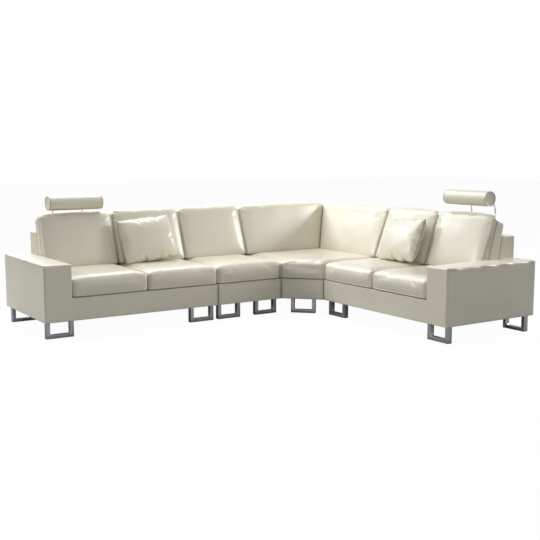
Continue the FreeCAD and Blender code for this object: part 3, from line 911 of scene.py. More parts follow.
class SofaCushionSettings(bpy.types.PropertyGroup):
    cell: length_setting("Cell", "Size of the mesh cells of a cushion", 0.010, 0.004, 0.03)
    pressure: number_setting("Pressure", "Pressure that blows the cushions up", 4.0, 0.0, 20.0)
    seat_crown: length_setting(
        "Seat Crown", "Rise of a seat cushion's middle over its edges", 0.020, 0.0, 0.05)
    seat_edge_drop: length_setting(
        "Seat Edge Drop", "How far a seat cushion's top edges lie below its solid's top",
        0.009, 0.0, 0.03)
    front_bulge: length_setting("Front Bulge", "Swell of a seat cushion's front", 0.004, 0.0, 0.03)
    back_bulge: length_setting("Back Bulge", "Swell of a back cushion's front", 0.016, 0.0, 0.05)
    back_crown: length_setting("Back Crown", "Rise of a back cushion's top", 0.027, 0.0, 0.05)
    crown_under_roller: length_setting(
        "Crown Under Roller", "Rise of the top under the low headrest roller", 0.012, 0.0, 0.03)
    corner_rounding: length_setting(
        "Corner Rounding", "Radius of a back cushion's top corners", 0.042, 0.0, 0.08)
    edge_rounding: length_setting(
        "Edge Rounding", "Radius of the cushions' upright edges", 0.014, 0.0, 0.05)
    seat_rounding: length_setting(
        "Seat Rounding", "Radius of a seat cushion's top front edge", 0.026, 0.0, 0.08)
    piping: length_setting("Piping", "Radius of the cord in the seams", 0.0036, 0.001, 0.006)


class SofaPillowSettings(bpy.types.PropertyGroup):
    width: length_setting("Width", "Width of a scatter pillow", 0.484, 0.2, 0.8)
    height: length_setting("Height", "Height of a scatter pillow", 0.368, 0.2, 0.8)
    thickness: length_setting("Thickness", "Thickness of a filled pillow", 0.14, 0.03, 0.3)
    slack: number_setting("Slack", "Cut size of the panels over the filled size", 1.09, 1.0, 1.3)
    barrel: number_setting(
        "Barrel", "How far the cut panels swell between their corners", 0.16, 0.0, 0.4)
    gather: length_setting(
        "Gather", "Depth of the gathers at a pillow's ends", 0.0055, 0.0, 0.02)
    cell: length_setting("Cell", "Size of the mesh cells of a pillow", 0.0085, 0.004, 0.03)
    pressure: number_setting("Pressure", "Pressure of the filling", 8.0, 0.0, 30.0)
    lean: angle_setting("Lean", "How far a pillow leans back", 22.0)
    left_roll: angle_setting("Left Roll", "Turn of the left pillow in its own plane", 4.7)
    right_roll: angle_setting("Right Roll", "Turn of the right pillow in its own plane", -3.5)
    right_turn: angle_setting(
        "Right Turn", "Turn of the right pillow away from its cushion", 6.0)


class SofaCoverSettings(bpy.types.PropertyGroup):
    cell: length_setting("Cell", "Size of the mesh cells of a cover", 0.022, 0.005, 0.1)
    base_height: length_setting(
        "Base Height", "Height of the base without its legs", 0.168, 0.1, 0.4)
    arm_width: length_setting("Arm Width", "Width of an arm", 0.21, 0.1, 0.5)
    arm_rounding: length_setting("Arm Rounding", "Radius of the arm's edges", 0.014, 0.0, 0.05)
    base_rounding: length_setting(
        "Base Rounding", "Radius of the base's edges", 0.005, 0.0, 0.05)
    back_rounding: length_setting(
        "Back Rounding", "Radius of the back frame's edges", 0.010, 0.0, 0.05)
    back_top_depth: length_setting(
        "Back Depth", "Depth of the back frame at its top", 0.128, 0.05, 0.3)
    back_lean: angle_setting("Back Lean", "Lean of the back frame's front", 10.5)
    corner_cut: length_setting(
        "Corner Cut", "How far the corner's slanted front is set back", CORNER_CUT, 0.0, 0.5)
    dust_inset: length_setting(
        "Dust Cover Inset", "Gap from a base's edge to its dust cover", 0.012, 0.0, 0.05)
    thickness: length_setting("Thickness", "Thickness of leather and lining", 0.004, 0.001, 0.015)
    turn_under: length_setting(
        "Turn Under", "Width of leather turned under the base", 0.022, 0.0, 0.1)
    slack: length_setting(
        "Slack", "How far the leather sinks between its edges", 0.0025, 0.0, 0.01)
    left_pucker: length_setting(
        "Left Pucker", "Depth of the gathers along the left arm's outer seam", 0.002, 0.0, 0.02)
    right_pucker: length_setting(
        "Right Pucker", "Depth of the gathers along the right arm's outer seam", 0.009, 0.0, 0.02)


class SofaMetalSettings(bpy.types.PropertyGroup):
    steel_colour: colour_setting("Steel Colour", "Colour of the brushed legs", (0.50, 0.52, 0.55))
    chrome_colour: colour_setting(
        "Chrome Colour", "Colour of the headrest rods", (0.72, 0.73, 0.75))
    edge_radius: length_setting(
        "Edge Radius", "Rounding of the leg bars' edges", 0.0012, 0.0003, 0.0018)
    leg_length: length_setting("Leg Length", "Length of a leg loop", 0.205, 0.05, 0.5)
    bar_face: length_setting("Bar Face", "Face width of a leg's bars", 0.028, 0.005, 0.1)
    bar_depth: length_setting("Bar Depth", "Depth of a leg's bars", 0.040, 0.005, 0.1)
    plate: length_setting("Screw Plate", "Thickness of a leg's screw plate", 0.004, 0.001, 0.02)


class SofaStudioSettings(bpy.types.PropertyGroup):
    floor_colour: colour_setting("Floor Colour", "Colour of the studio floor", (0.42, 0.42, 0.42))
    fill_light: number_setting(
        "Fill Light", "Strength of the even light from all round", 0.22, 0.0, 2.0)
    top_light: power_setting("Top Light", "Power of the wide light above and behind", 95.0)
    back_light: power_setting("Back Light", "Power of the light high up behind the sofa", 64.0)
    left_light: power_setting("Left Light", "Power of the soft light behind at the left", 112.0)
    right_light: power_setting("Right Light", "Power of the weak light at the right", 140.0)
    front_light: power_setting("Front Light", "Power of the weak light near the camera", 38.0)
    focal_length: number_setting(
        "Focal Length", "Focal length of the camera in millimetres", 59.17, 20.0, 200.0)


# Pieces

class SOFA_OT_seat_cushions(bpy.types.Operator):
    """Make the six crowned seat cushions"""

    bl_idname = "sofa.seat_cushions"
    bl_label = "Seat Cushions"

    def execute(self, context):
        settings = context.scene.sofa_cushions
        made = [seat_cushion_blank(node, settings) for node in SEAT_NODES]
        pieces = [piece for piece, _ in made]
        inflate(pieces, [hold for _, hold in made], settings.pressure, SEAT_CAP)
        for piece, node in zip(pieces, SEAT_NODES):
            keep_between(piece, node)
            settled(piece, 4)
            subdivide(piece)
            mirrored = is_mirrored(node)
            low, _ = run_box(node)
            # Painted shade along the lines where the cushion meets the base, the back cushions and
            # its neighbours.
            gaps = [to_run(path, mirrored) for path in seat_gaps(node)]
            paint_seam_shade(piece, gaps, reach=0.009)
            welt = to_run(at_height(seat_outline(node), low[2] + 0.009), mirrored)
            piping(piece, welt, settings.piping * 0.9, sink=-0.1)
            finish_soft(piece, node)
        return {"FINISHED"}


class SOFA_OT_back_cushions(bpy.types.Operator):
    """Make the seven leaning back cushions with their side seams"""

    bl_idname = "sofa.back_cushions"
    bl_label = "Back Cushions"

    def execute(self, context):
        settings = context.scene.sofa_cushions
        made = [back_cushion_blank(node, settings) for node in BACK_NODES]
        pieces = [piece for piece, _ in made]
        inflate(pieces, [hold for _, hold in made], settings.pressure, BACK_CAP)
        for piece, node in zip(pieces, BACK_NODES):
            mirrored = is_mirrored(node)
            corner = node.startswith("corner")
            low, high = run_box(node)
            points = to_run(coordinates(piece), mirrored)
            end = points[:, 1] + MIRROR_STEP - MITRE_GAP if corner else high[0]
            points[:, 0] = np.clip(points[:, 0], low[0], end)
            points[:, 2] = np.maximum(points[:, 2], low[2])
            set_coordinates(piece, to_run(points, mirrored))
            settled(piece, 3)
            subdivide(piece)
            ends = [low[0]] if corner else [low[0], high[0]]
            # Painted shade along the gaps to the seat and neighbours, and in a line just behind
            # each side seam's piping.
            painted_shade_lines = back_gaps(low[0], high[0])
            painted_shade_lines += [side_seam(x) + (0.0, 0.010, 0.0) for x in ends]
            paint_seam_shade(piece, [to_run(path, mirrored) for path in painted_shade_lines], reach=0.010)
            for x in ends:
                seam = even_path(to_run(side_seam(x), mirrored), 0.01)
                piping(piece, seam, settings.piping, sink=-0.15)
            finish_soft(piece, node)
        return {"FINISHED"}


class SOFA_OT_scatter_pillows(bpy.types.Operator):
    """Make the two leaning scatter pillows with their gathered ends"""

    bl_idname = "sofa.scatter_pillows"
    bl_label = "Scatter Pillows"

    def execute(self, context):
        settings = context.scene.sofa_pillows
        places = [
            ("left_scatter_pillow", settings.left_roll, 0.0, 3),
            ("right_scatter_pillow", settings.right_roll, settings.right_turn, 8),
        ]
        pieces = [pillow_blank(node + "_leather", settings, seed) for node, _, _, seed in places]
        loose = [np.zeros(len(piece.data.vertices)) for piece in pieces]
        inflate(pieces, loose, settings.pressure, 1.0, frames=40, stiffness=8.0, bending=0.3)
        for piece, (node, roll, turn, seed) in zip(pieces, places):
            mirrored = is_mirrored(node)
            settled(piece, 2)
            fit_pillow(piece, settings)
            subdivide(piece)
            gather_ends(piece, settings, seed)
            seam = pillow_seam(piece)
            # Painted shade along the rim seam.
            paint_seam_shade(piece, [seam], reach=0.010)
            piping(piece, seam, 0.0022, sink=0.2, closed=True)
            turned = (Matrix.Rotation(turn, 3, "Z") @ Matrix.Rotation(-settings.lean, 3, "X")
                      @ Matrix.Rotation(-roll, 3, "Y"))
            low, high = run_box(node)
            points = coordinates(piece) @ np.array(turned).T + (low + high) / 2
            set_coordinates(piece, to_run(points, mirrored))
            if mirrored:
                piece.data.flip_normals()
            finish_soft(piece, node)
            press_neighbours(piece, mirrored)
        return {"FINISHED"}


def pillow_blank(name, settings, seed):
    """Two panels sewn together round the rim, a little larger than the filled pillow."""
    width, height = settings.width * settings.slack, settings.height * settings.slack
    across = int(round(width / settings.cell))
    up = int(round(height / settings.cell))
    u, v = np.meshgrid(np.linspace(-1, 1, across + 1), np.linspace(-1, 1, up + 1), indexing="ij")
    x = width / 2 * u * (1 + settings.barrel * 0.75 * (1 - v * v))
    z = height / 2 * v * (1 + settings.barrel * (1 - u * u))
    swell = 0.035 * ((1 - u * u) * (1 - v * v)) ** 0.5
    front = np.stack([x, swell, z], -1)

    def unevenness(number):
        return 0.002 * ripple(front.reshape(-1, 3), number, 0.07).reshape(u.shape) * (swell > 0)

    front[..., 1] += unevenness(seed)
    back = front.copy()
    back[..., 1] = -swell - unevenness(seed + 1)
    inner = np.zeros(u.shape, bool)
    inner[1:-1, 1:-1] = True
    front_index = np.arange(u.size).reshape(u.shape)
    back_index = front_index.copy()
    back_index[inner] = u.size + np.arange(inner.sum())
    points = np.concatenate([front.reshape(-1, 3), back[inner]])
    faces = []
    for i in range(across):
        for j in range(up):
            ring = ((i, j), (i + 1, j), (i + 1, j + 1), (i, j + 1))
            faces.append([front_index[place] for place in ring][::-1])
            faces.append([back_index[place] for place in ring])
    return piece_from(name, points, faces)


def fit_pillow(piece, settings):
    """Bring the filled pillow to its real width, height and thickness."""
    points = coordinates(piece)
    low, high = points.min(0), points.max(0)
    points -= (low + high) / 2
    sizes = np.array([settings.width, settings.thickness, settings.height])
    set_coordinates(piece, points * (sizes / (high - low)))


def gather_ends(piece, settings, seed):
    """Small folds that run in from both ends, and a tuck in the lower edge."""
    points = coordinates(piece)
    heights = points * (0.0, 0.0, 1.0)
    facing = np.tanh(points[:, 1] / 0.012)
    for side, step in ((-1, 0), (1, 11)):
        inset = np.maximum(settings.width / 2 - side * points[:, 0], 0.0)
        wave = ripple(heights, seed + step, 0.050)
        reach = 0.036 + 0.020 * ripple(heights, seed + step + 5, 0.14)
        fade = np.exp(-inset / np.maximum(reach, 0.012))
        points[:, 1] += facing * settings.gather * wave * fade * smoothstep(0.0, 0.016, inset)
        points[:, 0] -= side * 0.5 * settings.gather * (1 + wave) * np.exp(-inset / 0.02)
    lower = np.maximum(points[:, 2] + settings.height / 2, 0.0)
    tuck = np.exp(-((points[:, 0] - 0.06) / 0.016) ** 2) * np.exp(-lower / 0.03)
    points[:, 2] += 0.008 * tuck
    points[:, 1] -= facing * 0.005 * tuck
    set_coordinates(piece, points)


def press_neighbours(pillow, mirrored):
    """Dent the cushions under and behind a pillow where it rests on them."""
    depth, gap = 0.12, 0.0025
    tree = surface_tree(pillow)
    outline = coordinates(pillow)
    low, high = outline.min(0) - 0.01, outline.max(0) + 0.01
    _, _, along = profile_line("front_foot", "front_top")
    upward, outward = np.array([0.0, 0.0, 1.0]), np.array([0.0, -along[1], along[0]])
    if mirrored:
        outward = outward[[1, 0, 2]]
    for nodes, toward in ((SEAT_NODES, upward), (BACK_NODES, outward)):
        for node in nodes:
            cushion = bpy.data.objects[node + "_leather"]
            points = coordinates(cushion)
            close = np.nonzero(((points > low) & (points < high)).all(axis=1))[0]
            for index in close:
                start = points[index] - toward * depth
                place, _, _, _ = tree.ray_cast(Vector(start), Vector(toward), depth + gap)
                if place is not None:
                    points[index] = np.array(place) - toward * gap
            if len(close):
                set_coordinates(cushion, points)


def pillow_seam(piece):
    """Closed line round the rim, found as the outermost ring of the pillow."""
    tree = surface_tree(piece)
    high = coordinates(piece).max(0)
    ring = []
    for angle in np.linspace(0, 2 * math.pi, 181)[:-1]:
        cosine, sine = math.cos(angle), math.sin(angle)
        reach = 1 / max(abs(cosine) / high[0], abs(sine) / high[2])
        start = Vector((cosine * reach * 1.3, 0.0, sine * reach * 1.3))
        place, _, _, _ = tree.ray_cast(start, -start.normalized())
        if place is None:
            place = tree.find_nearest(start)[0]
        ring.append(place)
    return np.array(ring + ring[:1], float)


class SOFA_OT_headrests(bpy.types.Operator):
    """Make the two leather rollers on their chromed rods"""

    bl_idname = "sofa.headrests"
    bl_label = "Headrests"

    def execute(self, context):
        nylon = plain_finish("moulded_nylon", (0.020, 0.020, 0.022), (0.035, 0.035, 0.037),
                             0.45, 90.0, 0.0002)
        for side, seed in (("left", 4), ("right", 9)):
            node = side + "_headrest_roller"
            finish_soft(roller_piece(node, seed), node)
            dress(side + "_headrest_rods", finish_named("polished_chrome", chrome_plate))
            dress(side + "_headrest_sleeves", nylon)
        return {"FINISHED"}


def roller_piece(node, seed):
    """Roller turned about its axis: crowned barrel, gathered seam and flat cap at each end."""
    mirrored = is_mirrored(node)
    low, high = run_box(node)
    middle = (low + high) / 2
    radius = (high[2] - low[2]) / 2
    half = (high[0] - low[0]) / 2
    cap = [(0.0, 0.004), (0.3, 0.0045), (0.6, 0.004), (0.8, 0.003), (0.88, 0.0015),
           (0.93, -0.0005), (0.965, 0.0)]
    turn = [(0.985, 0.0015), (0.998, 0.005), (1.0, 0.010), (1.0, 0.018), (1.003, 0.035)]
    ends = [(share, half - inset) for share, inset in cap + turn]
    barrel = [(1.003 + 0.008 * (1 - (x / half) ** 2), x)
              for x in np.linspace(half - 0.05, -half + 0.05, 30)]
    profile = ends + barrel + [(share, -x) for share, x in ends[::-1]]
    sides = 72
    points = [(middle[0] + profile[0][1], middle[1], middle[2])]
    for share, x in profile[1:-1]:
        near_end = math.exp(-((half - abs(x)) / 0.022) ** 2) * (share > 0.9)
        for step in range(sides):
            angle = 2 * math.pi * step / sides
            fold = 0.012 * near_end * math.sin(step * 2 * math.pi / 6 + seed)
            fold *= math.sin(angle * 3 + seed)
            reach = radius * (share + fold)
            points.append((middle[0] + x, middle[1] + reach * math.cos(angle),
                           middle[2] + reach * math.sin(angle)))
    points.append((middle[0] + profile[-1][1], middle[1], middle[2]))
    faces = []
    rings = len(profile) - 2
    last = len(points) - 1
    for step in range(sides):
        following = (step + 1) % sides
        faces.append((0, 1 + step, 1 + following))
        faces.append((last, last - sides + following, last - sides + step))
        for ring in range(rings - 1):
            start = 1 + ring * sides
            faces.append((start + step, start + sides + step,
                          start + sides + following, start + following))
    piece = piece_from(node + "_leather", points, faces, mirrored)
    subdivide(piece)
    angles = np.linspace(0, 2 * math.pi, 121)
    seams = []
    for side in (-1, 1):
        ring = np.column_stack([np.full(len(angles), middle[0] + side * (half - 0.001)),
                                middle[1] + radius * 0.975 * np.cos(angles),
                                middle[2] + radius * 0.975 * np.sin(angles)])
        seams.append(to_run(ring, mirrored))
    # Painted shade at the end seams and along a line under the roller.
    reach = half - 0.004
    under = [(middle[0] + side * reach, middle[1] - radius * 0.5, middle[2] - radius * 0.87)
             for side in (-1, 1)]
    paint_seam_shade(piece, seams + [to_run(under, mirrored)], reach=0.007)
    for seam in seams:
        piping(piece, seam, 0.0020, sink=0.2, closed=True)
    return piece


class SOFA_OT_base_covers(bpy.types.Operator):
    """Make the padded leather covers of the four bases and the two arms"""

    bl_idname = "sofa.base_covers"
    bl_label = "Base Covers"

    def execute(self, context):
        settings = context.scene.sofa_covers
        for section, seed in (("left_sofa", 5), ("single", 11), ("right_sofa", 17)):
            base_cover(section + "_base_cover", settings, seed)
        corner_base_cover("corner_base_cover", settings, 23)
        return {"FINISHED"}


def any_edge(_first, _second):
    return True


def prism_faces(count):
    """Faces of a prism whose two outlines of count points follow each other."""
    faces = [tuple(range(count)), tuple(range(count, 2 * count))[::-1]]
    for index in range(count):
        following = (index + 1) % count
        faces.append((index, following, count + following, count + index))
    return faces


def base_cover(node, settings, seed):
    """One continuous panel wraps the front of base and arm."""
    mirrored = is_mirrored(node)
    armed = not node.startswith("single")
    low, high = run_box(node)
    base_top = low[2] + settings.base_height
    outline = [(low[0], low[2]), (high[0], low[2]), (high[0], base_top)]
    inner = low[0] + settings.arm_width
    if armed:
        outline += [(inner, base_top), (inner, high[2]), (low[0], high[2])]
    else:
        outline.append((low[0], base_top))
    points = [(x, y, z) for y in (low[1], high[1]) for x, z in outline]

    def at_inner_face(first, second):
        return abs(first[0] - inner) + abs(second[0] - inner) < SAME_PLACE

    def on_arm(first, second):
        upright = abs(first[2] - second[2]) > SAME_PLACE
        top = min(first[2], second[2]) > base_top + SAME_PLACE
        outer = max(first[0], second[0]) < low[0] + SAME_PLACE and upright
        return armed and (top or outer or (at_inner_face(first, second) and upright))

    def on_fold(first, second):
        return armed and at_inner_face(first, second)

    roundings = [
        (on_arm, settings.arm_rounding),
        (on_fold, 0.0),
        (any_edge, settings.base_rounding),
    ]
    piece = solid_from(node + "_leather", points, prism_faces(len(outline)), roundings,
                       mirrored, settings.cell)
    slackened(piece, seed, settings.slack, 0.35)
    start = inner if armed else low[0]
    seam_height = base_top + 0.003
    joints = [high[0] + 0.002] if armed else [high[0] + 0.002, low[0] - 0.002]
    seams = [np.array([(start, low[1], seam_height), (high[0], low[1], seam_height)])]
    seams += [np.array([(x, low[1], low[2]), (x, low[1], base_top)]) for x in joints]
    if armed:
        seams += arm_seams(low, high, inner, base_top)
        depth = settings.right_pucker if mirrored else settings.left_pucker
        pucker_arm(piece, low, high, mirrored, depth)
    finish_cover(piece, node, [to_run(seam, mirrored) for seam in seams], settings)


def arm_seams(low, high, inner, base_top):
    """Outer top seam of the arm, and the line where its inner face meets the cushions."""
    outer_line = [(low[0] - 0.001, y, high[2] - 0.007) for y in (low[1] + 0.012, high[1] - 0.012)]
    inner_line = [(inner + 0.004, low[1], z) for z in (base_top, high[2] - 0.10)]
    return [np.array(outer_line), np.array(inner_line)]


def pucker_arm(piece, low, high, mirrored, depth):
    """Scallop the outer top edge of an arm where its seam gathers the leather."""
    points = to_run(coordinates(piece), mirrored)
    near = np.exp(-((points[:, 0] - low[0]) / 0.030) ** 2 - ((points[:, 2] - high[2]) / 0.030) ** 2)
    along = points[:, 1] - low[1]
    wave = np.abs(np.sin(math.pi * along / 0.170 + 0.5)) ** 0.7
    wave *= 0.75 + 0.25 * np.sin(along * 23.0)
    ends = smoothstep(0.02, 0.10, along) * smoothstep(0.02, 0.10, high[1] - points[:, 1])
    points[:, 2] -= depth * near * (1 - wave) * ends
    points[:, 0] += depth * 0.6 * near * (1 - wave) * ends
    set_coordinates(piece, to_run(points, mirrored))


def finish_cover(piece, node, seams, settings):
    """Open the underside, give the leather its thickness and paint shade along the seams."""
    low, high = node_box(node)

    def underside(middle, facing):
        deep = np.minimum(middle - low, high - middle)[:2].min()
        return facing[2] < -0.9 and middle[2] < low[2] + 0.002 and deep > settings.turn_under

    without_faces(piece, underside)
    modify(piece, "SOLIDIFY", thickness=settings.thickness, offset=-1.0)
    apply_modifiers(piece)
    if seams:
        paint_seam_shade(piece, seams, reach=0.008)
    finish_soft(piece, node)


def corner_base_cover(node, settings, seed):
    """Base of the corner, with its slanted front."""
    low, high = node_box(node)
    cut = settings.corner_cut
    outline = [(low[0], high[1]), (low[0], low[1] + cut), (low[0] + cut, low[1]),
               (high[0], low[1]), (high[0], high[1])]
    points = [(x, y, z) for z in (low[2], high[2]) for x, y in outline]
    piece = solid_from(node + "_leather", points, prism_faces(len(outline)),
                       [(any_edge, settings.base_rounding)], False, settings.cell)
    slackened(piece, seed, settings.slack, 0.3)
    front = outline[1:3]
    seams = [at_height(front, high[2] + 0.003)]
    seams += [np.array([(x, y, low[2]), (x, y, high[2])]) for x, y in front]
    finish_cover(piece, node, seams, settings)


class SOFA_OT_back_covers(bpy.types.Operator):
    """Make the padded leather covers of the back frames"""

    bl_idname = "sofa.back_covers"
    bl_label = "Back Covers"

    def execute(self, context):
        settings = context.scene.sofa_covers
        for section, seed in (("left_sofa", 31), ("single", 37), ("right_sofa", 41),
                              ("corner", 43)):
            back_cover(section + "_back_cover", settings, seed)
        return {"FINISHED"}


def back_cover(node, settings, seed):
    """Wedge-shaped box behind the cushions. In the corner it turns with a mitre."""
    low, high = run_box(node)
    rise = high[2] - low[2]
    front_top = high[1] - settings.back_top_depth
    front_foot = front_top - rise * math.tan(settings.back_lean)
    section = [(front_foot, low[2]), (high[1], low[2]), (high[1], high[2]), (front_top, high[2])]
    if node.startswith("corner"):
        rows = [[(low[0], y, z) for y, z in section],
                [(y + MIRROR_STEP, y, z) for y, z in section],
                [(y + MIRROR_STEP, low[1], z) for y, z in section]]
    else:
        rows = [[(x, y, z) for y, z in section] for x in (low[0], high[0])]
    points = [point for row in rows for point in row]
    faces = [(0, 1, 2, 3), tuple(len(points) - 4 + index for index in (3, 2, 1, 0))]
    for row in range(len(rows) - 1):
        for index in range(4):
            near, beside = row * 4 + index, row * 4 + (index + 1) % 4
            faces.append((near, beside, beside + 4, near + 4))
    roundings = [
        (lambda first, second: max(first[2], second[2]) < low[2] + SAME_PLACE, 0.0),
        (any_edge, settings.back_rounding),
    ]
    piece = solid_from(node + "_leather", points, faces, roundings, is_mirrored(node),
                       settings.cell)
    slackened(piece, seed, settings.slack, 0.3)
    finish_cover(piece, node, [], settings)


class SOFA_OT_dust_covers(bpy.types.Operator):
    """Stretch the black dust covers under the bases"""

    bl_idname = "sofa.dust_covers"
    bl_label = "Dust Covers"

    def execute(self, context):
        felt = plain_finish("black_felt", (0.012, 0.012, 0.013), (0.026, 0.026, 0.028),
                            0.9, 260.0, 0.0003)
        for section in ("left_sofa", "single", "right_sofa", "corner"):
            dust_cover(section, context.scene.sofa_covers, felt)
        return {"FINISHED"}


def dust_cover(section, settings, felt):
    """Thin stretched sheet, with the corner's slanted front cut off."""
    node = section + "_dust_cover"
    low, high = node_box(node)
    outline = [(low[0], low[1]), (high[0], low[1]), (high[0], high[1]), (low[0], high[1])]
    flat = (high[0] - low[0], high[1] - low[1])
    area = flat[0] * flat[1]
    if section == "corner":
        slant = settings.corner_cut - settings.dust_inset * (2 - math.sqrt(2))
        outline = [(low[0], low[1] + slant), (low[0] + slant, low[1])] + outline[1:]
        area -= slant * slant / 2
    middle, half = (low[2] + high[2]) / 2, 0.0004
    points = [(x, y, z) for z in (middle - half, middle + half) for x, y in outline]
    piece = piece_from(node + "_cloth", points, prism_faces(len(outline)), smooth=False)
    with edited(piece) as form:
        bmesh.ops.recalc_face_normals(form, faces=form.faces)
    cut_into_cells(piece, 0.05)
    piece.data.materials.append(felt)
    on_frame(piece, node)


class SOFA_OT_legs(bpy.types.Operator):
    """Make the sixteen brushed steel leg loops"""

    bl_idname = "sofa.legs"
    bl_label = "Steel Legs"

    def execute(self, context):
        settings = context.scene.sofa_metal
        for node in sorted(frame["nodes"]):
            if node.endswith("_leg"):
                leg_piece(node, settings)
        return {"FINISHED"}


def leg_piece(node, settings):
    """Loop of square bar with its screw plate, its edges broken by a small bevel."""
    low, high = node_box(node)
    size = high - low
    bar, plate = settings.bar_face, settings.plate
    length, depth = settings.leg_length, settings.bar_depth
    angle = 0.0
    if size[1] > size[0] * 1.5:
        angle = math.pi / 2
    elif size[1] > size[0] * 0.5:
        angle = -math.pi / 4
    lines = [(-length / 2, -length / 2 + bar, length / 2 - bar, length / 2),
             (-depth / 2, depth / 2),
             (low[2], low[2] + bar, high[2] - plate, high[2])]
    filled = np.ones((3, 1, 3), bool)
    filled[1, 0, 1] = False
    places, faces = cell_surface(filled)
    x, y, z = (np.array(lines[axis])[places[:, axis]] for axis in range(3))
    cosine, sine = math.cos(angle), math.sin(angle)
    middle = (low + high) / 2
    turned = np.column_stack([middle[0] + x * cosine - y * sine,
                              middle[1] + x * sine + y * cosine, z])
    piece = piece_from(node + "_steel", turned, faces, smooth=False)
    modify(piece, "BEVEL", width=settings.edge_radius, segments=3, limit_method="ANGLE")
    apply_modifiers(piece)
    piece.data.materials.append(finish_named("brushed_leg_steel", brushed_steel))
    on_frame(piece, node)


def cell_surface(filled):
    """Lattice places and quads of the outside of a block of filled cells."""
    padded = np.pad(filled, 1)
    quads = []
    for axis in range(3):
        first, second = ((1, 2), (2, 0), (0, 1))[axis]
        for side in (0, 1):
            neighbour = np.roll(padded, 1 - 2 * side, axis)[1:-1, 1:-1, 1:-1]
            cells = np.argwhere(filled & ~neighbour)
            corners = []
            for step_first, step_second in ((0, 0), (1, 0), (1, 1), (0, 1)):
                place = cells.copy()
                place[:, axis] += side
                place[:, first] += step_first
                place[:, second] += step_second
                corners.append(place)
            if side == 0:
                corners.reverse()
            quads.append(np.stack(corners, 1))
    quads = np.concatenate(quads)
    places, faces = np.unique(quads.reshape(-1, 3), axis=0, return_inverse=True)
    return places, faces.reshape(-1, 4)


class SOFA_OT_inner_parts(bpy.types.Operator):
    """Give the frames, springs, plates and screws inside their finishes"""

    bl_idname = "sofa.inner_parts"
    bl_label = "Inner Parts"

    def execute(self, context):
        timber = plain_finish("planed_timber", (0.46, 0.30, 0.16), (0.60, 0.43, 0.26),
                              0.65, 9.0, 0.0006, stretch=(0.25, 1.0, 6.0))
        springs = plain_finish("oiled_spring_wire", (0.16, 0.16, 0.17), (0.26, 0.26, 0.27),
                               0.35, 60.0, 0.0001, metallic=1.0)
        zinc = plain_finish("zinc_plate", (0.55, 0.56, 0.58), (0.68, 0.68, 0.69),
                            0.34, 45.0, 0.0001, metallic=1.0)
        for node in sorted(frame["nodes"]):
            if node.endswith("timber_frame"):
                dress(node, timber)
            elif node.endswith("seat_springs"):
                dress(node, springs)
            elif node in ("section_link_plates", "base_screws"):
                dress(node, zinc)
        return {"FINISHED"}


# Each lamp's name and setting, its place, what it aims at, its width and its height.
LAMPS = [
    ("top_light", (0.2, 1.8, 3.8), (0.3, 0.1, 0.4), 3.0, 2.0),
    ("back_light", (-0.7, 3.5, 3.0), (0.5, 0.2, 0.5), 1.5, 0.9),
    ("left_light", (-5.0, 2.8, 3.0), (0.2, 0.2, 0.5), 1.2, 1.2),
    ("right_light", (5.0, -1.5, 2.6), (-0.6, 0.5, 0.5), 1.2, 1.2),
    ("front_light", (-2.0, -6.0, 3.0), (0.0, 0.5, 0.4), 3.0, 3.0),
]
CAMERA_PLACE = (-3.6385, -5.6342, 1.3274)
CAMERA_TURN = (82.41, 0.0, -33.347)
FLOOR_REACH = 30.0


class SOFA_OT_stage(bpy.types.Operator):
    """Set the floor, the studio light and the camera"""

    bl_idname = "sofa.stage"
    bl_label = "Studio"

    def execute(self, context):
        settings = context.scene.sofa_studio
        context.scene.view_settings.view_transform = "Standard"
        corners = [(x * FLOOR_REACH, y * FLOOR_REACH, 0.0)
                   for x, y in ((-1, -1), (1, -1), (1, 1), (-1, 1))]
        floor = piece_from("studio_floor", corners, [(0, 1, 2, 3)])
        floor.data.materials.append(floor_paint(tuple(settings.floor_colour)))
        for name, place, aim, width, height in LAMPS:
            soft_light(name, place, aim, width, height, getattr(settings, name))
        studio_world(settings.fill_light)
        camera = bpy.data.cameras.new("camera")
        camera.sensor_width = 36.0
        camera.lens = settings.focal_length
        holder = new_object("camera", camera)
        holder.location = CAMERA_PLACE
        holder.rotation_euler = [math.radians(turn) for turn in CAMERA_TURN]
        context.scene.camera = holder
        return {"FINISHED"}


def soft_light(name, place, aim, width, height, power):
    lamp = bpy.data.lights.new(name, "AREA")
    lamp.shape = "RECTANGLE"
    lamp.size = width
    lamp.size_y = height
    lamp.energy = power
    holder = new_object(name, lamp)
    holder.location = place
    direction = Vector(aim) - Vector(place)
    holder.rotation_euler = direction.to_track_quat("-Z", "Y").to_euler()


def studio_world(strength):
    """Even fill light, with plain white where the camera, metal or glass sees past the floor."""
    world = bpy.data.worlds.new("studio")
    bpy.context.scene.world = world
    nodes = Nodes(world)
    path = nodes.node("ShaderNodeLightPath").outputs
    seen = nodes.math("MAXIMUM", path["Is Camera Ray"], path["Is Glossy Ray"])
    seen = nodes.math("MAXIMUM", seen, path["Is Transmission Ray"])
    fill = nodes.white_light("ShaderNodeBackground", strength)
    white = nodes.white_light("ShaderNodeBackground", 1.0)
    output = nodes.node("ShaderNodeOutputWorld")
    nodes.set(output, Surface=nodes.mixed_shader(seen, fill, white))


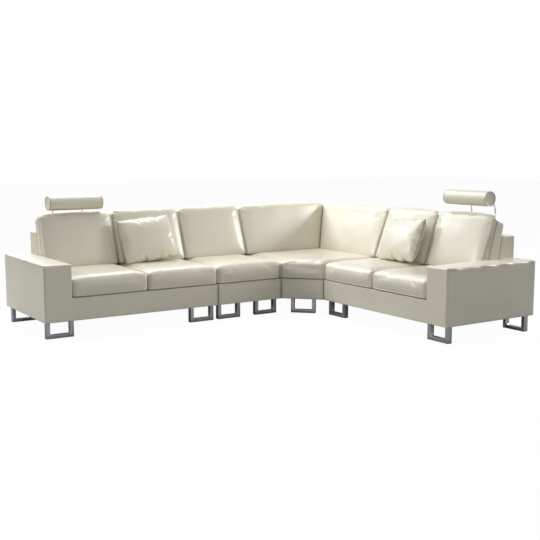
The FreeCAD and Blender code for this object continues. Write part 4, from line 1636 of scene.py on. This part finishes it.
def floor_paint(colour):
    """Pale floor that keeps the sofa's shadow and otherwise shows as white."""
    material = bpy.data.materials.new("studio_floor")
    nodes = Nodes(material)
    path = nodes.node("ShaderNodeLightPath").outputs
    paint = nodes.set(nodes.node("ShaderNodeBsdfDiffuse"), Color=(*colour, 1.0)).outputs[0]
    glow = nodes.white_light("ShaderNodeEmission", 1.05)
    share = nodes.math("MULTIPLY", path["Is Camera Ray"], 0.92)
    output = nodes.node("ShaderNodeOutputMaterial")
    nodes.set(output, Surface=nodes.mixed_shader(share, paint, glow))
    return material


class SOFA_PT_parts(bpy.types.Panel):
    """Buttons for each group of pieces"""

    bl_idname = "SOFA_PT_parts"
    bl_label = "Corner Sofa"
    bl_space_type = "VIEW_3D"
    bl_region_type = "UI"
    bl_category = "Corner Sofa"

    def draw(self, context):
        for operator in OPERATORS:
            self.layout.operator(operator.bl_idname)


OPERATORS = [
    SOFA_OT_seat_cushions,
    SOFA_OT_back_cushions,
    SOFA_OT_scatter_pillows,
    SOFA_OT_headrests,
    SOFA_OT_base_covers,
    SOFA_OT_back_covers,
    SOFA_OT_dust_covers,
    SOFA_OT_legs,
    SOFA_OT_inner_parts,
    SOFA_OT_stage,
]
GROUPS = [
    ("sofa_leather", SofaLeatherSettings),
    ("sofa_cushions", SofaCushionSettings),
    ("sofa_pillows", SofaPillowSettings),
    ("sofa_covers", SofaCoverSettings),
    ("sofa_metal", SofaMetalSettings),
    ("sofa_studio", SofaStudioSettings),
]


def register():
    for name, group in GROUPS:
        bpy.utils.register_class(group)
        setattr(bpy.types.Scene, name, bpy.props.PointerProperty(type=group))
    for operator in OPERATORS:
        bpy.utils.register_class(operator)
    bpy.utils.register_class(SOFA_PT_parts)


def unregister():
    bpy.utils.unregister_class(SOFA_PT_parts)
    for operator in reversed(OPERATORS):
        bpy.utils.unregister_class(operator)
    for name, group in reversed(GROUPS):
        delattr(bpy.types.Scene, name)
        bpy.utils.unregister_class(group)


def main():
    register()
    bpy.ops.sofa.seat_cushions()
    bpy.ops.sofa.back_cushions()
    bpy.ops.sofa.scatter_pillows()
    bpy.ops.sofa.headrests()
    bpy.ops.sofa.base_covers()
    bpy.ops.sofa.back_covers()
    bpy.ops.sofa.dust_covers()
    bpy.ops.sofa.legs()
    bpy.ops.sofa.inner_parts()
    bpy.ops.sofa.stage()


if __name__ == "__main__":
    main()
